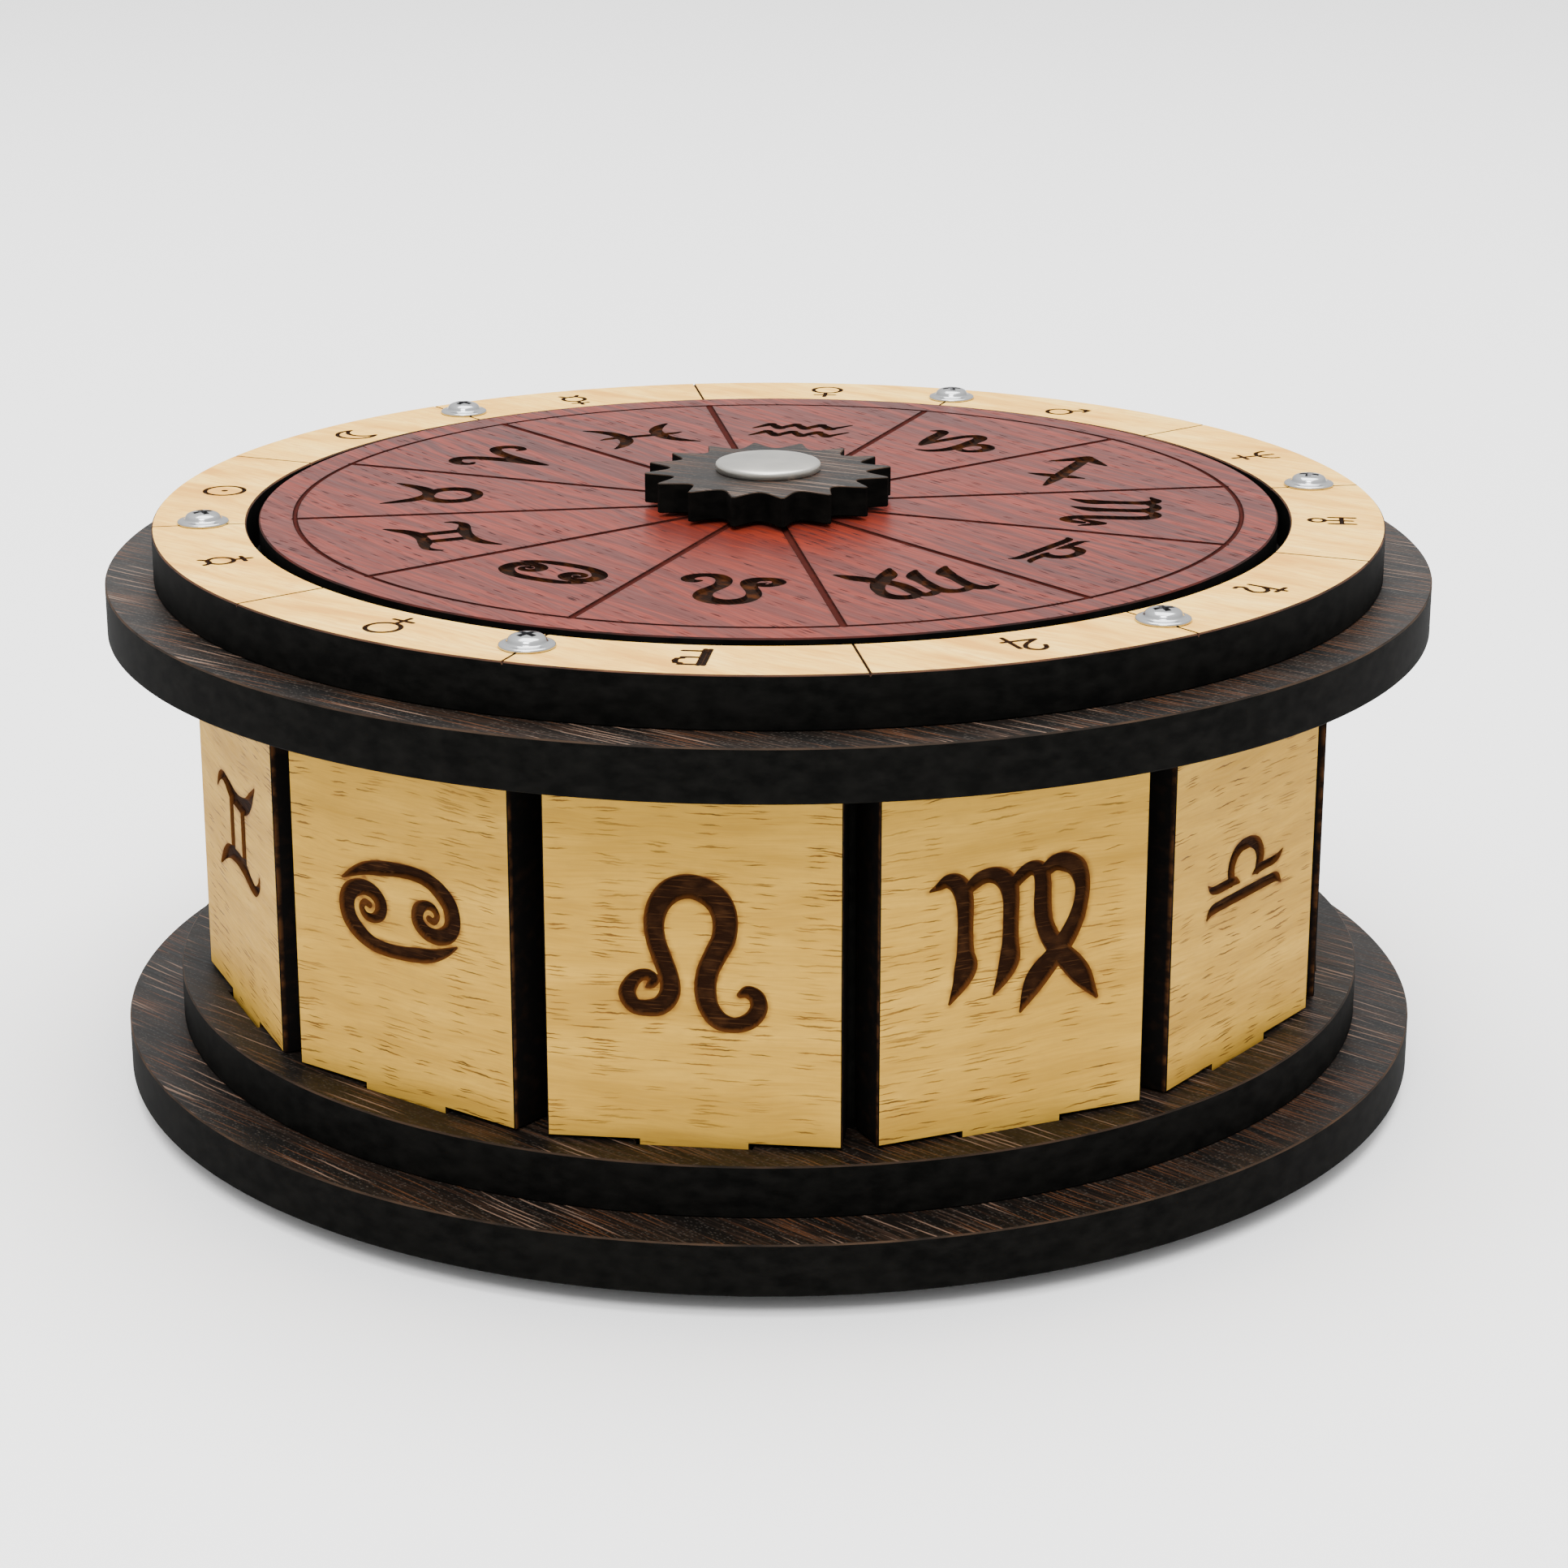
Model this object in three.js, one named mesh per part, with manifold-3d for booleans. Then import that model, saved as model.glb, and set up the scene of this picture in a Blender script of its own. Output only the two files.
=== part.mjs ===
// Round cryptex box: a twelve-sided wall of sign panels between two dark discs, with a
// planet ring and a red sign dial on the lid and a wing-and-keyhole lock under it.
// Millimetres, +Z up, origin at the centre of the underside. Sector 0 faces -Y and the
// sector number rises counter-clockwise seen from above, 30 degrees each.

import * as THREE from 'three';
import { mergeVertices } from 'three/addons/utils/BufferGeometryUtils.js';
import Module from 'manifold-3d';

// ---- driving dimensions -------------------------------------------------------------

const SHEET = 5;            // thickness of every wooden sheet
const GAP = 0.3;            // working clearance between parts
const RUN = 0.08;           // radial clearance of a running fit
const SECTORS = 12;
const PITCH = Math.PI * 2 / SECTORS;

const DISC_R = 66;          // base disc and lid disc
const FOOT_R = 61;
const FOOT_H = 2;
const BASE_RING_R = 60.5;
const BASE_RING_INNER = 46;
const PLANET_R = 61.25;
const PLANET_INNER = 52;
const DIAL_R = 50.75;

const BASE_Z = FOOT_H;                  // underside of the base disc
const RING_Z = BASE_Z + SHEET;          // top of the base disc
const FLOOR_Z = RING_Z + SHEET;         // top of the base ring
const LID_Z = 47.5;                     // underside of the lid disc
const PLANET_Z = LID_Z + SHEET;         // top of the lid disc
const PLANET_TOP = PLANET_Z + SHEET;
const DIAL_Z = PLANET_Z + GAP;
const DIAL_TOP = DIAL_Z + SHEET;

const PANEL_FACE = 56;      // distance from the axis to a panel's outer face
const PANEL_W = 26.6;
const PANEL_Z = FLOOR_Z + GAP;
const PANEL_TOP = LID_Z - GAP;
const TAB_W = 10;           // tab at the foot of each panel

const WALL_FACE = 50.6;     // distance from the axis to the inner wall's outer flats
const WALL_T = 3;
const LEDGE_FACE = WALL_FACE - WALL_T - GAP;
const LEDGE_T = 3;
const KEEPER_Z = 40;        // underside of the keeper plate
const KEEPER_T = 3;
const PLUG_Z = KEEPER_Z + KEEPER_T;
const PLUG_T = 3.9;
const FELT_T = 1.3;

const CODE_R = 29;          // body radius of a code disc
const CODE_REACH = 38;      // how far its two wings reach
const CODE_WING_W = 14;
const CODE_T = 2;
const KEYHOLE_R = 30;
const KEYHOLE_REACH = 39.5;
const KEYHOLE_W = 16;
const DISC_A_Z = 37.6;      // undersides of the four code discs
const DISC_B_Z = 34.6;
const DISC_C_Z = 31.4;
const DISC_D_Z = 28.2;
const SPACER_T = 1.2;

const TUBE_R = 7;           // drive tube of the lid disc
const TUBE_BORE = 4.08;
const TUBE_TIP_R = 6.2;
const TUBE_FLANGE_R = 13.7;
const TUBE_FLANGE_T = 2;

const SLEEVE_R = 4;         // centre sleeve carried by the dial
const SLEEVE_BORE = 2.58;
const SLEEVE_HEAD_R = 5.25;
const SHAFT_R = 2.5;
const KNOB_Z = DIAL_TOP + 0.4;
const KNOB_T = 3;
const KNOB_TOP = KNOB_Z + KNOB_T;
const KNOB_TEETH = 16;
const KNOB_TIP_R = 12.7;
const KNOB_VALLEY_R = 9.9;
const KNOB_PHASE = THREE.MathUtils.degToRad(13.4);

const SCREW_CIRCLE = 56.2;
const SCREW_DEGREES = [-15, 45.6, 105.7, 165, 224.3, 284.2];   // set by hand, not quite even
const SCREW_TURNS = [52, 27, 80, 15, 63, 40];                   // how each cross came to rest
const SCREW_FLANGE_R = 2.55;
const SCREW_DOME_R = 1.7;
const SCREW_SHANK_R = 1.2;
const SCREW_LENGTH = 8;

const PIN_R = 1.2;
const PIN_HEAD_R = 2.2;
const PIN_HEAD_T = 0.5;
const PIN_PROUD = 1;        // how far a pick-up pin stands out of its disc
const UPPER_PIN_CIRCLE = 14;
const LOWER_PIN_CIRCLE = 20;
const PIN_STOP = THREE.MathUtils.degToRad(15);   // angle between two pins at their stop

const SIGNS = [
  'leo', 'virgo', 'libra', 'scorpio', 'sagittarius', 'capricorn',
  'aquarius', 'pisces', 'aries', 'taurus', 'gemini', 'cancer',
];

// ---- materials ----------------------------------------------------------------------

function material(color, roughness, metalness = 0) {
  return new THREE.MeshStandardMaterial({ color, roughness, metalness, flatShading: true });
}

const EBONY = material(0x2a2320, 0.55);
const BLACK_BOARD = material(0x1b1815, 0.8);
const PALE_VENEER = material(0xd2ad73, 0.6);
const MAPLE = material(0xeedfc0, 0.6);
const PADAUK = material(0x96504a, 0.45);
const BIRCH = material(0xd9bd8f, 0.7);
const FELT = material(0x23272b, 0.95);
const ZINC = material(0xc8cacc, 0.3, 0.9);
const NICKEL = material(0xd2d0c8, 0.25, 0.9);
const BRASS = material(0xb08d4c, 0.35, 0.9);
const NYLON = material(0xe6e4da, 0.5);

// ---- shape helpers ------------------------------------------------------------------

const wasm = await Module();
wasm.setup();

// Point at a radius and a sector angle (0 faces -Y, rising counter-clockwise).
function polar(radius, angle) {
  return new THREE.Vector2(radius * Math.sin(angle), -radius * Math.cos(angle));
}

function circle(radius, segments = 96, centre = new THREE.Vector2()) {
  const points = [];
  for (let i = 0; i < segments; i += 1) {
    points.push(centre.clone().add(polar(radius, i * Math.PI * 2 / segments)));
  }
  return points;
}

// Twelve-sided outline whose flats stand at the given distance from the axis.
function twelveGon(flat) {
  const corners = [];
  for (let i = 0; i < SECTORS; i += 1) {
    corners.push(polar(flat / Math.cos(PITCH / 2), (i + 0.5) * PITCH));
  }
  return corners;
}

// Round outline with two square-ended wings along +X and -X.
function wingedOutline(radius, reach, width) {
  const half = width / 2;
  const start = Math.asin(half / radius);
  const steps = 20;
  const points = [];
  for (const side of [0, Math.PI]) {
    for (let i = 0; i <= steps; i += 1) {
      const angle = side + start + (Math.PI - 2 * start) * i / steps;
      points.push(new THREE.Vector2(radius * Math.cos(angle), radius * Math.sin(angle)));
    }
    const sign = side === 0 ? -1 : 1;
    points.push(new THREE.Vector2(sign * reach, -sign * half));
    points.push(new THREE.Vector2(sign * reach, sign * half));
  }
  return points;
}

function rectangleAt(centreRadius, angle, width, depth) {
  const out = polar(1, angle);
  const side = new THREE.Vector2(-out.y, out.x);
  const centre = out.clone().multiplyScalar(centreRadius);
  const corner = (s, o) => centre.clone()
    .addScaledVector(side, s * width / 2)
    .addScaledVector(out, o * depth / 2);
  return [corner(-1, -1), corner(-1, 1), corner(1, 1), corner(1, -1)];
}

// Flat part of the given outline, with holes through it, between two heights.
function plate(outline, z0, z1, holes = []) {
  const shape = new THREE.Shape(outline);
  shape.holes = holes.map((points) => new THREE.Path(points));
  const geometry = new THREE.ExtrudeGeometry(shape, { depth: z1 - z0, bevelEnabled: false });
  geometry.translate(0, 0, z0);
  return geometry;
}

// Part of revolution about the Z axis from [radius, height] pairs.
function turned(profile, segments = 72) {
  const points = profile.map(([r, z]) => new THREE.Vector2(r, z));
  const geometry = new THREE.LatheGeometry(points, segments);
  geometry.rotateX(Math.PI / 2);
  return geometry;
}

function washer(outer, inner, z0, z1, segments = 72) {
  const profile = [[inner, z0], [outer, z0], [outer, z1], [inner, z1], [inner, z0]];
  return turned(profile, segments);
}

function rod(radius, z0, z1, centre = new THREE.Vector2(), segments = 24) {
  const geometry = turned([[0, z0], [radius, z0], [radius, z1], [0, z1]], segments);
  geometry.translate(centre.x, centre.y, 0);
  return geometry;
}

function welded(geometry) {
  const copy = geometry.clone();
  copy.deleteAttribute('normal');
  copy.deleteAttribute('uv');
  return mergeVertices(copy, 1e-5);
}

function toManifold(geometry) {
  const clean = welded(geometry);
  return new wasm.Manifold(new wasm.Mesh({
    numProp: 3,
    vertProperties: new Float32Array(clean.getAttribute('position').array),
    triVerts: new Uint32Array(clean.index.array),
  }));
}

function subtract(body, tools) {
  let result = toManifold(body);
  for (const tool of tools) {
    result = result.subtract(toManifold(tool));
  }
  const mesh = result.getMesh();
  const geometry = new THREE.BufferGeometry();
  geometry.setAttribute('position', new THREE.BufferAttribute(mesh.vertProperties, 3));
  geometry.setIndex(new THREE.BufferAttribute(mesh.triVerts, 1));
  return geometry;
}

// ---- parts --------------------------------------------------------------------------

const group = new THREE.Group();
group.name = 'cryptex';

function add(name, geometry, look) {
  const solid = welded(geometry);
  solid.computeVertexNormals();
  const mesh = new THREE.Mesh(solid, look);
  mesh.name = name;
  group.add(mesh);
}

function screwCentre(index) {
  return polar(SCREW_CIRCLE, THREE.MathUtils.degToRad(SCREW_DEGREES[index]));
}

// Fixed box: foot, base disc, base ring, panels, wall, ledge, keeper plate and lining.

function addBox() {
  add('foot_disc', turned([[0, 0], [FOOT_R, 0], [FOOT_R, FOOT_H], [0, FOOT_H]], 96),
    BLACK_BOARD);
  add('base_disc', turned([[0, BASE_Z], [DISC_R, BASE_Z], [DISC_R, RING_Z], [0, RING_Z]], 120),
    EBONY);

  const slots = [];
  for (let i = 0; i < SECTORS; i += 1) {
    const middle = PANEL_FACE - SHEET / 2;
    slots.push(rectangleAt(middle, i * PITCH, TAB_W + 2 * GAP, SHEET + 2 * GAP));
  }
  add('base_ring', plate(circle(BASE_RING_R, 120), RING_Z, FLOOR_Z, [circle(BASE_RING_INNER), ...slots]),
    EBONY);

  add('compartment_lining',
    turned([[0, RING_Z], [BASE_RING_INNER - GAP, RING_Z],
      [BASE_RING_INNER - GAP, RING_Z + FELT_T], [0, RING_Z + FELT_T]], 96), FELT);

  add('inner_wall', plate(twelveGon(WALL_FACE), FLOOR_Z, PANEL_TOP,
    [twelveGon(WALL_FACE - WALL_T)]), BLACK_BOARD);
  add('ledge_ring', plate(twelveGon(LEDGE_FACE), FLOOR_Z, KEEPER_Z,
    [twelveGon(LEDGE_FACE - LEDGE_T)]), BIRCH);
  add('keeper_plate', plate(twelveGon(LEDGE_FACE), KEEPER_Z, PLUG_Z,
    [wingedOutline(KEYHOLE_R, KEYHOLE_REACH, KEYHOLE_W)]), BIRCH);
}

function addPanels() {
  const half = PANEL_W / 2;
  const tab = TAB_W / 2;
  const outline = [
    new THREE.Vector2(-tab, RING_Z), new THREE.Vector2(tab, RING_Z),
    new THREE.Vector2(tab, PANEL_Z), new THREE.Vector2(half, PANEL_Z),
    new THREE.Vector2(half, PANEL_TOP), new THREE.Vector2(-half, PANEL_TOP),
    new THREE.Vector2(-half, PANEL_Z), new THREE.Vector2(-tab, PANEL_Z),
  ];
  SIGNS.forEach((sign, i) => {
    const geometry = plate(outline, 0, SHEET);
    geometry.rotateX(Math.PI / 2);
    geometry.translate(0, SHEET - PANEL_FACE, 0);
    geometry.rotateZ(i * PITCH);
    add(`panel_${sign}`, geometry, PALE_VENEER);
  });
}

// Plug of the lid: drops into the wall and cannot turn.

function addPlug() {
  add('plug_plate', plate(twelveGon(LEDGE_FACE), PLUG_Z, PLUG_Z + PLUG_T,
    [circle(TUBE_R + RUN, 72)]), BIRCH);
  add('lid_glide_ring', washer(26, 20, PLUG_Z + PLUG_T, LID_Z), NYLON);
}

// Turning lid: lid disc, planet ring with its screws, drive tube and first code disc.

function addLidRing() {
  const disc = turned([
    [TUBE_R + GAP, LID_Z], [DISC_R, LID_Z], [DISC_R, PLANET_Z],
    [TUBE_FLANGE_R + GAP, PLANET_Z], [TUBE_FLANGE_R + GAP, PLANET_Z - TUBE_FLANGE_T],
    [TUBE_R + GAP, PLANET_Z - TUBE_FLANGE_T], [TUBE_R + GAP, LID_Z],
  ], 120);
  const holes = [];
  const ringHoles = [circle(PLANET_INNER)];
  for (let i = 0; i < SCREW_DEGREES.length; i += 1) {
    const centre = screwCentre(i);
    const floor = PLANET_TOP - SCREW_LENGTH - GAP;
    holes.push(rod(SCREW_SHANK_R + GAP, floor, PLANET_Z + 1, centre));
    ringHoles.push(circle(SCREW_SHANK_R + GAP, 24, centre));
  }
  add('lid_disc', subtract(disc, holes), EBONY);
  add('planet_ring', plate(circle(PLANET_R, 120), PLANET_Z, PLANET_TOP, ringHoles), MAPLE);

  for (let i = 0; i < SCREW_DEGREES.length; i += 1) {
    const centre = screwCentre(i);
    const head = turned([
      [0, -SCREW_LENGTH], [SCREW_SHANK_R, -SCREW_LENGTH + 1], [SCREW_SHANK_R, 0],
      [SCREW_FLANGE_R, 0], [SCREW_FLANGE_R, 0.3], [SCREW_DOME_R + 0.1, 0.45],
      [SCREW_DOME_R, 0.75], [1.3, 1.15], [0.7, 1.35], [0, 1.35],
    ], 24);
    const arm = 1.15;
    const slotA = new THREE.BoxGeometry(2 * arm, 0.4, 1.4).translate(0, 0, 1.3);
    const slotB = new THREE.BoxGeometry(0.4, 2 * arm, 1.4).translate(0, 0, 1.3);
    const screw = subtract(head, [slotA, slotB]);
    screw.rotateZ(THREE.MathUtils.degToRad(SCREW_TURNS[i]));
    screw.translate(centre.x, centre.y, PLANET_TOP);
    add(`ring_screw_${i + 1}`, screw, ZINC);
  }

  add('drive_tube', turned([
    [TUBE_BORE, DISC_A_Z], [TUBE_TIP_R, DISC_A_Z], [TUBE_TIP_R, DISC_A_Z + CODE_T],
    [TUBE_R, DISC_A_Z + CODE_T], [TUBE_R, PLANET_Z - TUBE_FLANGE_T],
    [TUBE_FLANGE_R, PLANET_Z - TUBE_FLANGE_T], [TUBE_FLANGE_R, PLANET_Z],
    [TUBE_BORE, PLANET_Z], [TUBE_BORE, DISC_A_Z],
  ]), BRASS);
  addCodeDisc('code_disc_a', DISC_A_Z, TUBE_TIP_R + RUN, []);
}

function addCodeDisc(name, z, bore, pinCentres) {
  const pinHoles = pinCentres.map((centre) => circle(PIN_R + RUN, 24, centre));
  const outline = wingedOutline(CODE_R, CODE_REACH, CODE_WING_W);
  add(name, plate(outline, z, z + CODE_T, [circle(bore, 36), ...pinHoles]), BIRCH);
}

// Pick-up pin through a code disc: its head on one side, its stop end proud on the other.
function addPin(name, centre, discZ, up) {
  const back = up ? discZ : discZ + CODE_T;
  const profile = [
    [0, -PIN_HEAD_T], [PIN_HEAD_R, -PIN_HEAD_T], [PIN_HEAD_R, 0],
    [PIN_R, 0], [PIN_R, CODE_T + PIN_PROUD], [0, CODE_T + PIN_PROUD],
  ];
  const geometry = turned(profile, 24);
  if (!up) {
    geometry.rotateX(Math.PI);
  }
  geometry.translate(centre.x, centre.y, back);
  add(name, geometry, BRASS);
}

// Dial on its centre sleeve, with the second code disc clamped below.

function knobOutline() {
  const points = [];
  const steps = 8;
  for (let tooth = 0; tooth < KNOB_TEETH; tooth += 1) {
    for (let i = 0; i < steps; i += 1) {
      const t = i / steps;
      const angle = KNOB_PHASE + (tooth + t) * Math.PI * 2 / KNOB_TEETH;
      const scoop = (KNOB_TIP_R - KNOB_VALLEY_R) * Math.sin(Math.PI * t);
      points.push(polar(KNOB_TIP_R - scoop, angle));
    }
  }
  return points;
}

function addDial() {
  add('sign_dial', plate(circle(DIAL_R, 120), DIAL_Z, DIAL_TOP, [circle(SLEEVE_R + RUN, 48)]),
    PADAUK);
  add('dial_glide_ring', washer(36, 30, PLANET_Z, DIAL_Z), NYLON);
  add('knob_washer', washer(7, SLEEVE_R + RUN, DIAL_TOP, KNOB_Z, 48), NYLON);
  add('gear_knob', plate(knobOutline(), KNOB_Z, KNOB_TOP, [circle(SLEEVE_R + RUN, 48)]), EBONY);

  const sleeveFoot = DISC_B_Z + CODE_T;
  add('centre_sleeve', turned([
    [0, 57], [SLEEVE_BORE, 57], [SLEEVE_BORE, sleeveFoot], [SLEEVE_R, sleeveFoot],
    [SLEEVE_R, KNOB_TOP], [SLEEVE_HEAD_R, KNOB_TOP], [SLEEVE_HEAD_R, KNOB_TOP + 0.6],
    [SLEEVE_HEAD_R - 0.25, KNOB_TOP + 0.85], [3, KNOB_TOP + 1.1], [0, KNOB_TOP + 1.2],
  ], 48), NICKEL);

  const headZ = DISC_D_Z - 0.6;
  const screw = turned([
    [0, headZ - 2], [5.6, headZ - 2], [6, headZ - 1.6], [6, headZ],
    [SHAFT_R, headZ], [SHAFT_R, 56], [0, 56],
  ], 48);
  const slot = new THREE.BoxGeometry(14, 1.2, 2).translate(0, 0, headZ - 2);
  add('centre_screw', subtract(screw, [slot]), NICKEL);
  add('end_washer', washer(7, SLEEVE_BORE, headZ, DISC_D_Z, 48), NYLON);

  const pin = polar(UPPER_PIN_CIRCLE, 0);
  addCodeDisc('code_disc_b', DISC_B_Z, SLEEVE_BORE, [pin]);
  addPin('pick_up_pin_b', pin, DISC_B_Z, false);
}

// Two loose code discs on the centre screw, each picked up by the pin of the one above.

function addWheels() {
  const upper = polar(UPPER_PIN_CIRCLE, -PIN_STOP);
  const lower = polar(LOWER_PIN_CIRCLE, Math.PI);
  addCodeDisc('code_disc_c', DISC_C_Z, SLEEVE_BORE, [upper, lower]);
  addPin('pick_up_pin_c_top', upper, DISC_C_Z, true);
  addPin('pick_up_pin_c_bottom', lower, DISC_C_Z, false);
  add('spacer_c', washer(6, SLEEVE_BORE, DISC_C_Z + CODE_T, DISC_C_Z + CODE_T + SPACER_T, 48),
    NYLON);

  const last = polar(LOWER_PIN_CIRCLE, Math.PI - PIN_STOP);
  addCodeDisc('code_disc_d', DISC_D_Z, SLEEVE_BORE, [last]);
  addPin('pick_up_pin_d', last, DISC_D_Z, true);
  add('spacer_d', washer(6, SLEEVE_BORE, DISC_D_Z + CODE_T, DISC_D_Z + CODE_T + SPACER_T, 48),
    NYLON);
}

addBox();
addPanels();
addPlug();
addLidRing();
addDial();
addWheels();

export default group;
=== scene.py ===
"""Looks for the round cryptex box: engraved veneers, dark discs, dial, knob and screws.

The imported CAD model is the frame. Every piece here is built in millimetres in the same
frame (+Z up, sector 0 facing -Y, sectors rising counter-clockwise seen from above) and
scaled to metres when its object is made.
"""

import math

import bpy
import numpy as np
from mathutils import Matrix, Vector
from mathutils.geometry import delaunay_2d_cdt


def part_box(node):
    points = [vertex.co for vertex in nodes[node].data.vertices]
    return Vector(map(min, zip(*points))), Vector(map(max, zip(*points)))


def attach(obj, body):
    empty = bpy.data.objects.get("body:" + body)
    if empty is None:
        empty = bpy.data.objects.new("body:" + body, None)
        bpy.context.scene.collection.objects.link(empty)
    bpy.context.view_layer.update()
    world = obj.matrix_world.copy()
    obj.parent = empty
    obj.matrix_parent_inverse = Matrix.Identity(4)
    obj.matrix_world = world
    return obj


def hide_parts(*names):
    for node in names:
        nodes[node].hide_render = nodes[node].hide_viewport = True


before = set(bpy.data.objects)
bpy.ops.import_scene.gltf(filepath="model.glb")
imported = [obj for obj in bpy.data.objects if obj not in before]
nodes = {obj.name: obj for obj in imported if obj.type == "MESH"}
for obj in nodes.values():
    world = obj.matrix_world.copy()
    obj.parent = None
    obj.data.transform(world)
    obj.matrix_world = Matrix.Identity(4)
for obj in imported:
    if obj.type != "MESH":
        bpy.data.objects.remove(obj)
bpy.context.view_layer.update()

MM = 0.001
DISC_R = 66           # base disc and lid disc
SLEEVE_BORE = 4.08    # hole for the centre sleeve in the dial and the knob
SECTORS = 12
PITCH = math.tau / SECTORS
SIGNS = ["leo", "virgo", "libra", "scorpio", "sagittarius", "capricorn",
         "aquarius", "pisces", "aries", "taurus", "gemini", "cancer"]


def cad(node):
    """Lowest and highest corner of a CAD node, in millimetres."""
    low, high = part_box(node)
    return low / MM, high / MM


# ---- signs and marks: brush strokes as (x, y, width) points ---------------------------

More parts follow.
